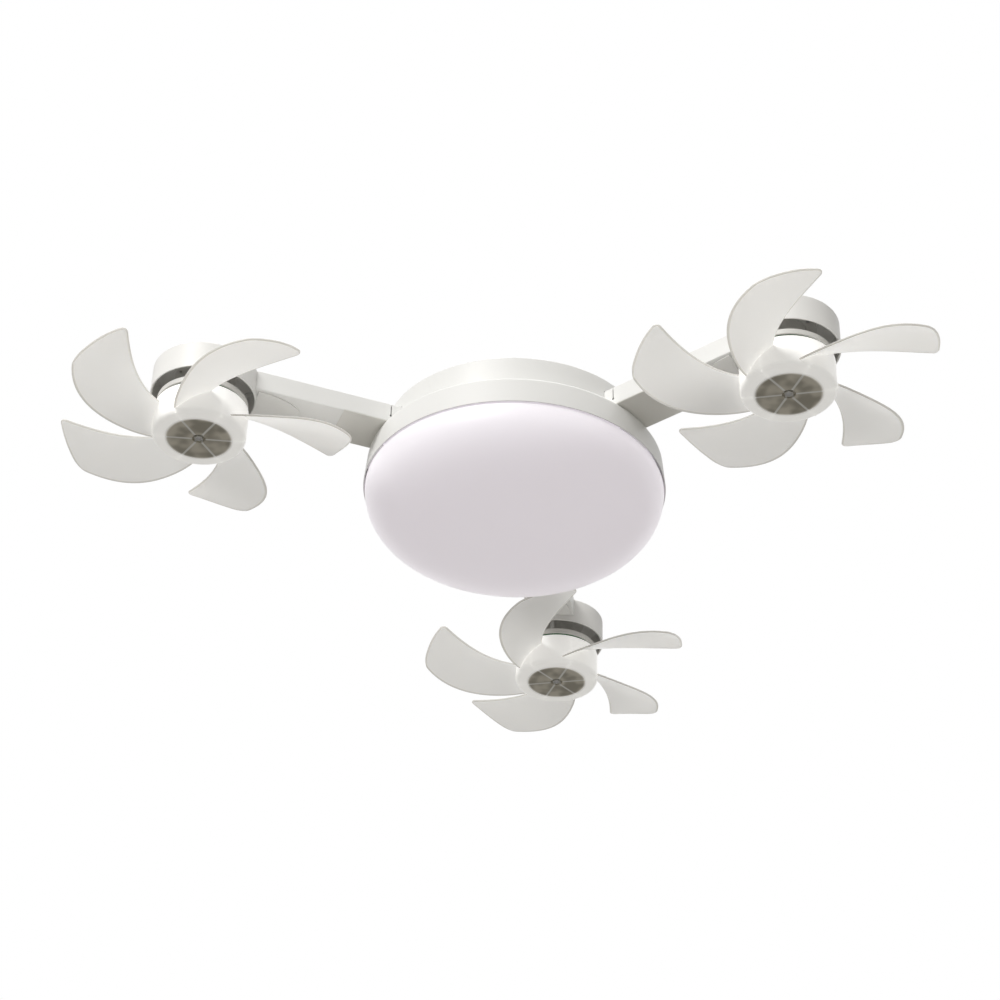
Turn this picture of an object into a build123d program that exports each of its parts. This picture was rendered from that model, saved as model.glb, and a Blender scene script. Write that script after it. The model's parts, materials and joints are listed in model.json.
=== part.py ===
from build123d import *
import math
import os

# Three-head ceiling fan with a central light.
# Millimetres, +Z up. The origin lies on the ceiling plane, on the axis of the light, and the
# whole fan hangs below it. Every arm is drawn along +X and then turned to its own direction.
# Head pieces are drawn about their own motor axis, with -X pointing back to the light.

# Directions of the three arms, and of one blade tip on each head, in degrees
ARM_ANGLES = (90.0, 210.0, 330.0)
TIP_ANGLES = (287.5, 255.2, 287.2)

# Clearances
PLAY = 0.1              # between pieces that are screwed or clipped together
RUN = 0.05              # shaft in its bearings
PRESS = 0.02            # rings pushed into their seats
AIR = 0.6               # stator to magnets
SLOT_PLAY = 0.6         # arm in the window of the canopy wall
SEAT_GAP = 0.3          # bayonet lug over its ledge

# Fasteners
SCREW_R = 1.5
SCREW_HEAD_R = 3.0
SCREW_HEAD_H = 2.0

# Canopy drum on the ceiling, set back from the rim of the shell
SHEET = 1.0
SHELL_R = 151.0
CANOPY_R = SHELL_R - 18.0
CANOPY_H = 37.5
CANOPY_EDGE = 2.0
RECESS_R = 66.0
RECESS_DEPTH = 7.0
CABLE_HOLE_R = 18.0
TAB_L = 14.0
TAB_W = 18.0
TAB_ANGLES = (30.0, 150.0, 270.0)

# Ceiling bracket
BRACKET_L = 120.0
BRACKET_W = 26.0
BRACKET_T = 2.0
FOOT_L = 16.0
WIRE_HOLE_R = 7.0
CEILING_HOLE_SPACING = 60.0
CEILING_SLOT_W = 4.6
CEILING_SLOT_L = 14.0

# Lower shell: the rim round the light and the deck that carries the arms
SHELL_TOP_R = SHELL_R - 2.7
SHELL_H = 30.0
SHELL_EDGE = 3.5
DECK_HOLE_R = 16.0
VENT_R = 7.0
VENT_OUT = 62.0
PILLAR_R = 4.0

# Diffuser, a superellipse dome that twists into the shell
DOME_R = SHELL_R - 1.8
DOME_DEPTH = 67.4
DOME_POWER = 2.32
DOME_WALL = 2.2
SEAM = 1.0
NECK_R = DOME_R - 2.7
LUG_R = NECK_R + 2.3
LUG_H = 2.5
LUG_SPAN = 16.0
LEDGE_H = 1.5
LEDGE_RISE = 2.0
LUGS = 3

# Light plate and its diodes
PLATE_R = NECK_R - 8.5
PLATE_T = 1.5
PLATE_RISE = 4.0
PLATE_RIM_H = 4.0
PLATE_HOLE_R = 6.0
PILLAR_OUT = PLATE_R - 20.0
CHIP = 5.0
CHIP_H = 1.0
CHIP_RING_OUT = (36.0, 70.0, 102.0)
CHIPS_ADDED = 6

# Electrical boxes
CONTROL_APOTHEM = 40.0
CONTROL_H = 22.0
DRIVER_L = 112.0
DRIVER_W = 42.0
DRIVER_OUT = 60.0
DRIVER_AIR = 1.5
DRIVER_EAR = 8.0
BOX_EDGE = 2.0
TERMINAL_L = 38.0
TERMINAL_W = 18.0
TERMINAL_H = 15.0
TERMINAL_OUT = 84.0
TERMINAL_POLES = 3

# Arms
HEAD_OUT = SHELL_R + 172.6
ARM_W = 49.5
ARM_H = 22.0
ARM_WALL = 2.0
ARM_EDGE = 1.2
ARM_START = 78.0
ARM_SCREW_OUT = 89.0
ARM_SCREW_SIDE = 12.0
COVER_START = 100.0
COVER_END = SHELL_R + 38.0
COVER_RIB = 5.0
COVER_RIB_T = 1.5
SLIT_OUT = CANOPY_R + 8.0
SLIT_W = 1.0
SLIT_DEPTH = 14.0
SLIT_HOLE_R = 1.3

# Head cups
CUP_R = 51.0
CUP_H = 30.0
CUP_WALL = 2.0
CUP_EDGE = 2.5
LIP = 0.8
TONGUE_OUT = 96.0
TONGUE_W = 44.0
TONGUE_T = 1.5
TANG_L = 30.0
TANG_WALL = 2.5
CUP_SCREW_OUT = (61.0, 73.0)
LEAD_WINDOW_W = 14.0
LEAD_WINDOW_H = 9.0

# Motor
BASE_R = 44.0
BASE_DROP = 6.0          # from the mouth of the cup down to the motor base
BASE_H = 6.0
BASE_WALL = 2.0
BASE_EDGE = 1.2
COLUMN_R = 20.0
COLUMN_WALL = 2.5
FLANGE_R = 30.0
FLANGE_T = 3.0
BASE_SCREW_OUT = 25.0
BASE_SCREWS = 3
SHAFT_R = 3.0
SHAFT_SINK = 0.5
THREAD_R = 2.5
BEARING_R = 7.5
BEARING_W = 5.0
BEARING_SINK = 1.0
RACE_T = 1.0
SHIELD_SINK = 0.3
LAND_R = 5.5
TUBE_WALL = 2.0
TUBE_GAP = 1.5           # tube end above the boss of the bell
BOARD_R = 38.0
BOARD_T = 1.6
STATOR_R = 27.5
STATOR_H = 16.0
YOKE_WALL = 5.0
TOOTH_W = 4.5
SHOE_T = 3.0
SHOE_SPAN = 32.0
TEETH = 9
COIL_W = 9.0
COIL_OVERHANG = 2.5
MAGNET_T = 2.8
BELL_WALL = 1.2
BELL_FLOOR = 1.5
BELL_H = 28.5
BELL_RISE = 0.5          # rim of the bell above the rim of the hub
BELL_EDGE = 3.0
BELL_BOSS_R = 7.0
BELL_BOSS_H = 2.5

# Impeller hub
HUB_R = 45.0
HUB_WALL = 2.4
HUB_H = 34.0
HUB_FLOOR = 1.8
HUB_EDGE = 5.0
HUB_GAP = 3.0            # from the motor base down to the hub
HUB_BOSS_R = 8.0
HUB_WEB = 2.7            # boss between the bell and the nut
NUT_FLAT = 8.0
NUT_H = 3.0
NUT_POCKET_R = 6.5
SHAFT_PROUD = 0.2        # thread end beyond the nut
HUB_RIBS = 6
RIB_T = 1.2
RIB_H = 3.5
FIN_DEPTH = 6.5
FIN_FROM_TOP = 2.5
RIB_TURN = 10.8          # from a blade tip to a rib

# Blades. Angles run from the tip about the motor axis, drops from the top of the hub.
# The hollow edge is the concave one that ends in the tip; the full edge is the convex one.
BLADES = 5
BLADE_T = 2.0
BLADE_CAMBER = 2.5
TIP_R = 139.4
TIP_ROUND = 4.0
TIP_DROP = 0.8
HOLLOW_ROOT_ANGLE = -31.5
HOLLOW_BOW = 13.7
HOLLOW_ROOT_DROP = 9.1
HOLLOW_SAG = 12.8
HEEL_R = 146.5
HEEL_ROUND = 15.0
HEEL_ANGLE = -24.2
HEEL_DROP = 18.1
FULL_ROOT_ANGLE = -74.2
FULL_WAVE = 29.3
FULL_ROOT_DROP = 28.4
FULL_SAG = 24.0
OUTER_BULGE = 1.2
SHEET_PAST_ROOT = 0.08   # how far the sheet that a blade is cut from goes past the outline,
SHEET_PAST_TIP = 0.1     # in shares of the blade's length
SHEET_PAST_SIDES = 0.14  # and of its width
SHEET_ROWS = 9
SHEET_COLUMNS = 5
ROOT_SINK = 0.06         # outline past the wall of the hub, in shares of the blade's length

# Motor leads
LEAD_R = 2.0
LEAD_BEND = 9.0

# Heights and radii that follow from the sizes above
DECK_Z = -CANOPY_H
DECK_UNDER = DECK_Z - SHEET
SHELL_Z = DECK_Z - SHELL_H
DOME_Z = SHELL_Z - SEAM
RECESS_Z = -RECESS_DEPTH - SHEET
PLATE_Z = SHELL_Z + PLATE_RISE
PILLAR_Z = PLATE_Z + PLATE_T
LEDGE_Z = SHELL_Z + LEDGE_RISE
LEDGE_R = NECK_R + SEAT_GAP
LUG_Z = LEDGE_Z + LEDGE_H + SEAT_GAP
NECK_TOP = LUG_Z + LUG_H
ARM_TOP = DECK_Z + ARM_H
ARM_MID = DECK_Z + ARM_H / 2
CUP_Z = ARM_TOP - CUP_H
CUP_BORE = CUP_R - CUP_WALL
ROOF_Z = ARM_TOP - CUP_WALL
BASE_TOP = CUP_Z - BASE_DROP
BASE_Z = BASE_TOP - BASE_H
BOARD_TOP = BASE_TOP - BASE_WALL
HUB_TOP = BASE_Z - HUB_GAP
HUB_Z = HUB_TOP - HUB_H
HUB_BORE = HUB_R - HUB_WALL
TUBE_R = BEARING_R + PRESS + TUBE_WALL
BELL_BORE = STATOR_R + AIR + MAGNET_T + PRESS
BELL_R = BELL_BORE + BELL_WALL
BELL_TOP = HUB_TOP + BELL_RISE
BELL_Z = BELL_TOP - BELL_H
BELL_FLOOR_TOP = BELL_Z + BELL_FLOOR
TUBE_Z = BELL_FLOOR_TOP + BELL_BOSS_H + TUBE_GAP
STATOR_Z = (BELL_TOP + BELL_FLOOR_TOP - STATOR_H) / 2
YOKE_R = TUBE_R + PRESS + YOKE_WALL
NUT_TOP = BELL_Z - HUB_WEB
NUT_Z = NUT_TOP - NUT_H
LEAD_OUT = (FLANGE_R + CUP_BORE) / 2
BOTTOM_UP = Rot(180, 0, 0)


def save(node, *solids):
    """Write one named node, of one or more solids, as its own STEP file."""
    whole = solids[0] if len(solids) == 1 else Compound(list(solids))
    export_step(whole, os.path.join("parts", node + ".step"))


def disc(radius, height, z):
    """A round disc that stands on z."""
    return Pos(0, 0, z) * Cylinder(radius, height, align=(Align.CENTER, Align.CENTER, Align.MIN))


def ring(outer, inner, height, z):
    """A flat ring that stands on z."""
    return disc(outer, height, z) - disc(inner, height, z)


def block(length, width, height, x, z):
    """A box that starts at x, stands on z and is centred on y."""
    return Pos(x, 0, z) * Box(length, width, height, align=(Align.MIN, Align.CENTER, Align.MIN))


def sector(outer, inner, height, z, span):
    """A stretch of a ring, centred on +X."""
    section = Pos((outer + inner) / 2, z + height / 2) * Rectangle(outer - inner, height)
    return turned(revolve(Plane.XZ * section, Axis.Z, span), -span / 2)


def turned(part, angle):
    """The part turned about the vertical axis."""
    return Rot(0, 0, angle) * part


def copies(part, count, start=0.0):
    """The part repeated evenly round the vertical axis."""
    return [turned(part, start + 360.0 * i / count) for i in range(count)]


def at_head(part, angle):
    """A piece drawn about its own motor axis, moved to the end of the arm at this angle."""
    return turned(Pos(HEAD_OUT, 0, 0) * part, angle)


def screw(length):
    """A pan-head screw: its head stands on the origin plane, its shank hangs below."""
    shank = disc(SCREW_R, length, -length)
    return shank + disc(SCREW_HEAD_R, SCREW_HEAD_H, 0)


def screw_hole(x, z, y=0.0):
    """A clearance hole for one screw through the sheet or wall at this height."""
    return Pos(x, y, z) * Cylinder(SCREW_R + PLAY, 6 * ARM_WALL)


# Canopy and ceiling bracket


def ceiling_bracket():
    """A hat-shaped bar: its middle lies on the ceiling, its feet in the canopy's recess."""
    leg_x = BRACKET_L / 2 - FOOT_L - BRACKET_T
    middle = block(2 * (leg_x + BRACKET_T), BRACKET_W, BRACKET_T, -leg_x - BRACKET_T, -BRACKET_T)
    leg = block(BRACKET_T, BRACKET_W, RECESS_DEPTH, leg_x, -RECESS_DEPTH)
    foot = block(BRACKET_L / 2 - leg_x, BRACKET_W, BRACKET_T, leg_x, -RECESS_DEPTH)
    foot -= screw_hole(BRACKET_L / 2 - FOOT_L / 2, -RECESS_DEPTH)
    bar = middle + leg + foot + turned(leg + foot, 180)
    slot = extrude(SlotOverall(CEILING_SLOT_L, CEILING_SLOT_W), -BRACKET_T)
    for x in (-CEILING_HOLE_SPACING / 2, CEILING_HOLE_SPACING / 2):
        bar -= Pos(x, 0, 0) * slot
    return bar - disc(WIRE_HOLE_R, BRACKET_T, -BRACKET_T)


def canopy():
    """A drawn steel drum: flat top on the ceiling, dished middle, windows for the arms."""
    drum = disc(CANOPY_R, CANOPY_H, DECK_Z)
    drum = fillet(drum.edges().sort_by(Axis.Z)[-1], CANOPY_EDGE)
    drum -= disc(CANOPY_R - SHEET, CANOPY_H - SHEET, DECK_Z)
    drum -= disc(RECESS_R, SHEET, -SHEET)
    drum += ring(RECESS_R + SHEET, RECESS_R, -RECESS_Z, RECESS_Z)
    drum += ring(RECESS_R + SHEET, CABLE_HOLE_R, SHEET, RECESS_Z)
    for x in (-1, 1):
        drum -= screw_hole(x * (BRACKET_L - FOOT_L) / 2, RECESS_Z)
    window_w = ARM_W + 2 * SLOT_PLAY
    inner_x = math.sqrt((CANOPY_R - SHEET) ** 2 - (window_w / 2) ** 2) - SHEET
    window = block(CANOPY_R - inner_x, window_w, ARM_H + SLOT_PLAY, inner_x, DECK_Z)
    for angle in ARM_ANGLES:
        drum -= turned(window, angle)
    tab = block(TAB_L, TAB_W, SHEET, CANOPY_R - SHEET / 2 - TAB_L, DECK_Z)
    tab -= screw_hole(CANOPY_R - TAB_L / 2 - SHEET, DECK_Z)
    for angle in TAB_ANGLES:
        drum += turned(tab, angle)
    return drum


def canopy_screws():
    """Two screws that go up through the recess into the feet of the bracket."""
    one = Pos((BRACKET_L - FOOT_L) / 2, 0, RECESS_Z) * BOTTOM_UP * screw(SHEET + 2 * BRACKET_T)
    return copies(one, 2)


def shell_screws():
    """Three screws that go up through the deck into the tabs of the canopy."""
    one = Pos(CANOPY_R - TAB_L / 2 - SHEET, 0, DECK_UNDER) * BOTTOM_UP * screw(5 * SHEET)
    return [turned(one, angle) for angle in TAB_ANGLES]


# Lower shell, diffuser and light


def lower_shell():
    """Rim and deck in one pressing, with bayonet ledges inside and pillars for the light plate."""
    bend_x = SHELL_TOP_R - SHELL_EDGE
    bend_z = DECK_Z - SHELL_EDGE
    section = make_face([
        Line((SHELL_R, SHELL_Z), (SHELL_TOP_R, bend_z)),
        CenterArc((bend_x, bend_z), SHELL_EDGE, 0, 90),
        Polyline(
            (bend_x, DECK_Z), (DECK_HOLE_R, DECK_Z), (DECK_HOLE_R, DECK_UNDER), (bend_x, DECK_UNDER)
        ),
        CenterArc((bend_x, bend_z), SHELL_EDGE - SHEET, 0, 90),
        Polyline((SHELL_TOP_R - SHEET, bend_z), (SHELL_R - SHEET, SHELL_Z), (SHELL_R, SHELL_Z)),
    ])
    shell = revolve(Plane.XZ * section, Axis.Z)
    for ledge in copies(sector(SHELL_R - SHEET, LEDGE_R, LEDGE_H, LEDGE_Z, LUG_SPAN), LUGS, ARM_ANGLES[0]):
        shell += ledge
    pillar = Pos(PILLAR_OUT, 0, 0) * disc(PILLAR_R, DECK_UNDER - PILLAR_Z, PILLAR_Z)
    pillar -= screw_hole(PILLAR_OUT, PILLAR_Z)
    vent = Pos(VENT_OUT, 0, 0) * disc(VENT_R, SHEET, DECK_UNDER)
    for angle in ARM_ANGLES:
        shell += turned(pillar, angle)
        shell -= turned(vent, angle)
        for side in (-ARM_SCREW_SIDE, ARM_SCREW_SIDE):
            shell -= turned(screw_hole(ARM_SCREW_OUT, DECK_Z, side), angle)
    for angle in TAB_ANGLES:
        shell -= turned(screw_hole(CANOPY_R - TAB_L / 2 - SHEET, DECK_Z), angle)
    return shell


def dome_curve(radius, depth, top_z):
    """Quarter superellipse from the top edge down to the axis, from its own formula."""
    power = 2 / DOME_POWER
    end = top_z - depth
    steps = 8
    points = []
    for i in range(steps + 1):
        turn = math.pi / 2 * i / steps
        points.append((radius * abs(math.cos(turn)) ** power, top_z - depth * math.sin(turn) ** power))
    points[-1] = (0, end)
    return Spline(points, tangents=[(0, -1), (-1, 0)])


def diffuser():
    """Opal dome with a neck inside the shell and three bayonet lugs over the ledges."""
    neck_bore = NECK_R - DOME_WALL
    inner_r = DOME_R - DOME_WALL
    inner_depth = DOME_DEPTH - DOME_WALL
    shelf_z = DOME_Z - DOME_WALL
    bottom = DOME_Z - DOME_DEPTH
    dome = revolve(Plane.XZ * make_face([
        Line((0, DOME_Z), (DOME_R, DOME_Z)),
        dome_curve(DOME_R, DOME_DEPTH, DOME_Z),
        Line((0, bottom), (0, DOME_Z)),
    ]), Axis.Z)
    hollow = revolve(Plane.XZ * make_face([
        Line((0, DOME_Z), (inner_r, DOME_Z)),
        dome_curve(inner_r, inner_depth, DOME_Z),
        Line((0, DOME_Z - inner_depth), (0, DOME_Z)),
    ]), Axis.Z)
    hollow -= ring(DOME_R, neck_bore, DOME_WALL, shelf_z)
    shade = dome - hollow + ring(NECK_R, neck_bore, NECK_TOP - DOME_Z, DOME_Z)
    for lug in copies(sector(LUG_R, NECK_R - DOME_WALL / 2, LUG_H, LUG_Z, LUG_SPAN), LUGS, ARM_ANGLES[0]):
        shade += lug
    return shade


def led_plate():
    """Aluminium pan that carries the diodes and screws to the pillars."""
    pan = disc(PLATE_R, PLATE_T, PLATE_Z)
    pan += ring(PLATE_R, PLATE_R - PLATE_T, PLATE_RIM_H, PLATE_Z)
    pan -= disc(PLATE_HOLE_R, PLATE_T, PLATE_Z)
    for angle in ARM_ANGLES:
        pan -= turned(screw_hole(PILLAR_OUT, PLATE_Z), angle)
    return pan


def led_chips():
    """Rings of diodes under the plate."""
    chips = []
    for number, radius in enumerate(CHIP_RING_OUT, start=1):
        count = CHIPS_ADDED * number
        chip = Pos(radius, 0, PLATE_Z - CHIP_H / 2) * Box(CHIP, CHIP, CHIP_H)
        chips += copies(chip, count, 180.0 / count)
    return chips


def led_screws():
    """Three screws that go up through the light plate into the pillars."""
    one = Pos(PILLAR_OUT, 0, PLATE_Z) * BOTTOM_UP * screw(2 * PLATE_T)
    return [turned(one, angle) for angle in ARM_ANGLES]


# Electrical boxes


def led_driver():
    """Power supply of the light, a box with two ears under the deck."""
    height = DECK_UNDER - PILLAR_Z - DRIVER_AIR
    case = Box(DRIVER_L, DRIVER_W, height, align=(Align.CENTER, Align.CENTER, Align.MAX))
    case = fillet(case.edges().filter_by(Axis.Z), BOX_EDGE)
    ear = Box(DRIVER_L + 2 * DRIVER_EAR, DRIVER_W / 2, SHEET, align=(Align.CENTER, Align.CENTER, Align.MAX))
    whole = case + ear
    for x in (-1, 1):
        whole -= screw_hole(x * (DRIVER_L + DRIVER_EAR) / 2, 0)
    return Pos(0, -DRIVER_OUT, DECK_UNDER) * whole


def fan_controller():
    """Six-sided housing on the deck, one flat side with a socket facing each arm."""
    case = extrude(RegularPolygon(CONTROL_APOTHEM, 6, major_radius=False), CONTROL_H)
    case = fillet(case.edges().filter_by(Axis.Z), BOX_EDGE)
    lid_line = extrude(RegularPolygon(CONTROL_APOTHEM, 6, major_radius=False), SHEET)
    lid_line -= extrude(RegularPolygon(CONTROL_APOTHEM - SHEET, 6, major_radius=False), SHEET)
    return Pos(0, 0, DECK_Z) * (case - Pos(0, 0, CONTROL_H - 4 * SHEET) * lid_line)


def terminal_block():
    """Three-pole block for the ceiling supply."""
    body = Box(TERMINAL_L, TERMINAL_W, TERMINAL_H, align=(Align.CENTER, Align.CENTER, Align.MIN))
    pitch = TERMINAL_L / TERMINAL_POLES
    for i in range(TERMINAL_POLES):
        x = (i - (TERMINAL_POLES - 1) / 2) * pitch
        well = Pos(x, 0, TERMINAL_H) * Cylinder(pitch / 4, TERMINAL_H / 2)
        entry = Pos(x, -TERMINAL_W / 2, TERMINAL_H / 3) * Box(pitch / 2, TERMINAL_W / 3, TERMINAL_H / 3)
        body = body - well - entry
    return Pos(0, -TERMINAL_OUT, DECK_Z) * body


# Arms


def arm():
    """Aluminium box tube from the deck to the cup, its underside open where the cover goes."""
    length = HEAD_OUT - ARM_START
    tube = block(length, ARM_W, ARM_H, ARM_START, DECK_Z)
    tube = fillet(tube.edges().filter_by(Axis.X), ARM_EDGE)
    tube -= block(length, ARM_W - 2 * ARM_WALL, ARM_H - 2 * ARM_WALL, ARM_START, DECK_Z + ARM_WALL)
    tube -= Pos(HEAD_OUT, 0, 0) * disc(CUP_R + PLAY, ARM_H, DECK_Z)
    tube -= block(COVER_END - COVER_START, ARM_W, ARM_WALL, COVER_START, DECK_Z)
    for side in (-1, 1):
        slit = block(SLIT_W, 2 * ARM_WALL, SLIT_DEPTH, SLIT_OUT - SLIT_W / 2, ARM_TOP - SLIT_DEPTH)
        relief = Pos(SLIT_OUT, 0, ARM_TOP - SLIT_DEPTH) * Rot(90, 0, 0) * Cylinder(SLIT_HOLE_R, 2 * ARM_WALL)
        tube -= Pos(0, side * ARM_W / 2, 0) * (slit + relief)
        tube -= screw_hole(ARM_SCREW_OUT, DECK_Z, side * ARM_SCREW_SIDE)
    for out in CUP_SCREW_OUT:
        tube -= screw_hole(HEAD_OUT - out, ARM_TOP)
    return tube


def arm_cover():
    """Clip-in cover of the wiring opening, flush with the underside of the arm."""
    length = COVER_END - COVER_START - 2 * PLAY
    start = COVER_START + PLAY
    plate = block(length, ARM_W, ARM_WALL - PLAY, start, DECK_Z)
    low_edges = plate.edges().filter_by(Axis.X).group_by(Axis.Z)[0]
    plate = fillet(low_edges, ARM_EDGE)
    rib = block(length, COVER_RIB_T, COVER_RIB, start, DECK_Z + ARM_WALL - PLAY)
    rib_y = ARM_W / 2 - ARM_WALL - PLAY - COVER_RIB_T / 2
    return plate + Pos(0, rib_y, 0) * rib + Pos(0, -rib_y, 0) * rib


def arm_screws():
    """Two screws an arm, up through the deck into the bottom wall of the arm."""
    solids = []
    for angle in ARM_ANGLES:
        for side in (-ARM_SCREW_SIDE, ARM_SCREW_SIDE):
            one = Pos(ARM_SCREW_OUT, side, DECK_UNDER) * BOTTOM_UP * screw(SHEET + 2 * ARM_WALL)
            solids.append(turned(one, angle))
    return solids


# Heads: cup and motor


def head_cup():
    """Deep cup over the motor, with a tang inside the arm and a tongue lapping under it."""
    cup = disc(CUP_R, CUP_H, CUP_Z)
    cup = fillet(cup.edges().sort_by(Axis.Z)[-1], CUP_EDGE)
    tang_w = ARM_W - 2 * ARM_WALL - 2 * PLAY
    tang_h = ARM_H - 2 * ARM_WALL - 2 * PLAY
    tang = block(CUP_R, tang_w, tang_h, -CUP_R - TANG_L, ARM_MID - tang_h / 2)
    bore_w = tang_w - 2 * TANG_WALL
    bore_h = tang_h - 2 * TANG_WALL
    tang -= block(CUP_R, bore_w, bore_h, -CUP_R - TANG_L, ARM_MID - bore_h / 2)
    tongue = extrude(Ellipse(TONGUE_OUT - CUP_BORE, TONGUE_W / 2), TONGUE_T)
    tongue &= block(TONGUE_OUT, TONGUE_W, TONGUE_T, -TONGUE_OUT, 0)
    body = cup + tang + Pos(-CUP_BORE, 0, DECK_Z - TONGUE_T) * tongue
    body -= disc(CUP_BORE, CUP_H - CUP_WALL, CUP_Z)
    body -= Pos(0, 0, CUP_Z + LIP / 2) * Cone(CUP_BORE + LIP, CUP_BORE, LIP)
    window_z = ARM_MID - LEAD_WINDOW_H / 2
    body -= block(2 * CUP_WALL + LIP, LEAD_WINDOW_W, LEAD_WINDOW_H, -CUP_R - LIP, window_z)
    for out in CUP_SCREW_OUT:
        body -= screw_hole(-out, ARM_TOP)
    for hole in copies(screw_hole(BASE_SCREW_OUT, ARM_TOP), BASE_SCREWS):
        body -= hole
    return body


def cup_screws():
    """Two screws a head, down through the arm into the tang of the cup."""
    solids = []
    for angle in ARM_ANGLES:
        for out in CUP_SCREW_OUT:
            solids.append(at_head(Pos(-out, 0, ARM_TOP) * screw(ARM_WALL + TANG_WALL), angle))
    return solids


def motor_base():
    """Lid-shaped base under the cup: column to the roof above, bearing tube below."""
    lid = disc(BASE_R, BASE_H, BASE_Z)
    lid = fillet(lid.edges().sort_by(Axis.Z)[-1], BASE_EDGE)
    lid -= disc(BASE_R - BASE_WALL, BASE_H - BASE_WALL, BASE_Z)
    column = disc(COLUMN_R, ROOF_Z - BASE_TOP, BASE_TOP) + disc(FLANGE_R, FLANGE_T, ROOF_Z - FLANGE_T)
    column -= disc(COLUMN_R - COLUMN_WALL, ROOF_Z - BASE_TOP, BASE_TOP)
    for hole in copies(screw_hole(BASE_SCREW_OUT, ROOF_Z - FLANGE_T), BASE_SCREWS):
        column -= hole
    tube = disc(TUBE_R, BASE_TOP - TUBE_Z, TUBE_Z)
    seat = BEARING_W + BEARING_SINK
    bore = disc(LAND_R, BASE_TOP - TUBE_Z, TUBE_Z)
    bore += disc(BEARING_R + PRESS, seat, BASE_TOP - seat)
    bore += disc(BEARING_R + PRESS, BEARING_W, TUBE_Z)
    lead_hole = Pos(-LEAD_OUT, 0, 0) * disc(LEAD_R + PLAY, BASE_H, BASE_Z)
    return lid + column + tube - bore - lead_hole


def base_screws():
    """Three screws a head, down through the roof of the cup into the motor base."""
    one = Pos(BASE_SCREW_OUT, 0, ARM_TOP) * screw(CUP_WALL + FLANGE_T)
    return [at_head(s, angle) for angle in ARM_ANGLES for s in copies(one, BASE_SCREWS)]


def stator():
    """Nine-tooth laminated core on the bearing tube."""
    core = Circle(YOKE_R)
    tooth = Pos((YOKE_R + STATOR_R - SHOE_T) / 2, 0) * Rectangle(STATOR_R - YOKE_R, TOOTH_W)
    for one in copies(tooth, TEETH):
        core += one
    stack = extrude(core, STATOR_H)
    for shoe in copies(sector(STATOR_R, STATOR_R - SHOE_T, STATOR_H, 0, SHOE_SPAN), TEETH):
        stack += shoe
    stack -= disc(TUBE_R + PRESS, STATOR_H, 0)
    return Pos(0, 0, STATOR_Z) * stack


def windings():
    """One copper coil round each tooth."""
    start = YOKE_R + PLAY
    length = math.sqrt((STATOR_R - SHOE_T) ** 2 - (COIL_W / 2) ** 2) - PLAY - start
    coil = block(length, COIL_W, STATOR_H + 2 * COIL_OVERHANG, start, STATOR_Z - COIL_OVERHANG)
    coil -= block(length, TOOTH_W + 2 * PLAY, STATOR_H + 2 * PLAY, start, STATOR_Z - PLAY)
    return copies(coil, TEETH)


def motor_board():
    """Ring-shaped drive board against the inside of the motor base."""
    return ring(BOARD_R, TUBE_R + PLAY, BOARD_T, BOARD_TOP - BOARD_T)


def bearings():
    """Two ball bearings, one in each end of the tube."""
    bearing = ring(BEARING_R, SHAFT_R + RUN, BEARING_W, 0)
    for z in (0, BEARING_W - SHIELD_SINK):
        bearing -= ring(BEARING_R - RACE_T, SHAFT_R + RACE_T, SHIELD_SINK, z)
    upper = BASE_TOP - BEARING_SINK - BEARING_W
    return [Pos(0, 0, upper) * bearing, Pos(0, 0, TUBE_Z) * bearing]


# Rotors


def rotor_bell():
    """Steel bell of the outer-rotor motor, pressed on the shaft."""
    bell = disc(BELL_R, BELL_H, BELL_Z)
    bell = fillet(bell.edges().sort_by(Axis.Z)[0], BELL_EDGE)
    bell -= disc(BELL_BORE, BELL_H - BELL_FLOOR, BELL_FLOOR_TOP)
    bell += disc(BELL_BOSS_R, BELL_BOSS_H, BELL_FLOOR_TOP)
    return bell - disc(SHAFT_R + PRESS, BELL_FLOOR + BELL_BOSS_H, BELL_Z)


def magnets():
    """Ring magnet inside the bell, level with the stator."""
    outer = BELL_BORE - PRESS
    return ring(outer, outer - MAGNET_T, STATOR_H, STATOR_Z)


def shaft():
    """Motor shaft with a thinner threaded end for the nut."""
    top = BASE_TOP - SHAFT_SINK
    end = NUT_Z - SHAFT_PROUD
    return disc(SHAFT_R, top - BELL_Z, BELL_Z) + disc(THREAD_R, BELL_Z - end, end)


def hub_nut():
    """Hexagon nut that holds the impeller on the shaft."""
    nut = extrude(RegularPolygon(NUT_FLAT / 2, 6, major_radius=False), NUT_H)
    return Pos(0, 0, NUT_Z) * nut - disc(THREAD_R + PRESS, NUT_H, NUT_Z)


def polar(radius, angle, z):
    """A point from its radius and its angle in degrees about the motor axis."""
    turn = math.radians(angle)
    return Vector(radius * math.cos(turn), radius * math.sin(turn), z)


def hollow_edge(along):
    """Concave edge of a blade: along runs from 0 at the hub wall to 1 at the tip."""
    rest = 1 - along
    angle = HOLLOW_ROOT_ANGLE * rest + HOLLOW_BOW * along * rest
    drop = HOLLOW_ROOT_DROP * rest + TIP_DROP * along + HOLLOW_SAG * along * rest
    return polar(HUB_R + (TIP_R - HUB_R) * along, angle, HUB_TOP - drop)


def full_edge(along):
    """Convex edge of a blade: along runs from 0 at the hub wall to 1 at the heel."""
    rest = 1 - along
    angle = FULL_ROOT_ANGLE * rest + HEEL_ANGLE * along + FULL_WAVE * along * rest * (rest - along)
    drop = FULL_ROOT_DROP * rest + HEEL_DROP * along + FULL_SAG * along * rest
    return polar(HUB_R + (HEEL_R - HUB_R) * along, angle, HUB_TOP - drop)


def blade_point(along, across):
    """Middle surface of a blade: across runs from 0 on the hollow edge to 1 on the full edge."""
    first = hollow_edge(along)
    last = full_edge(along)
    camber = 4 * BLADE_CAMBER * across * (1 - across)
    return first + (last - first) * across + Vector(0, 0, camber)


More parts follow.
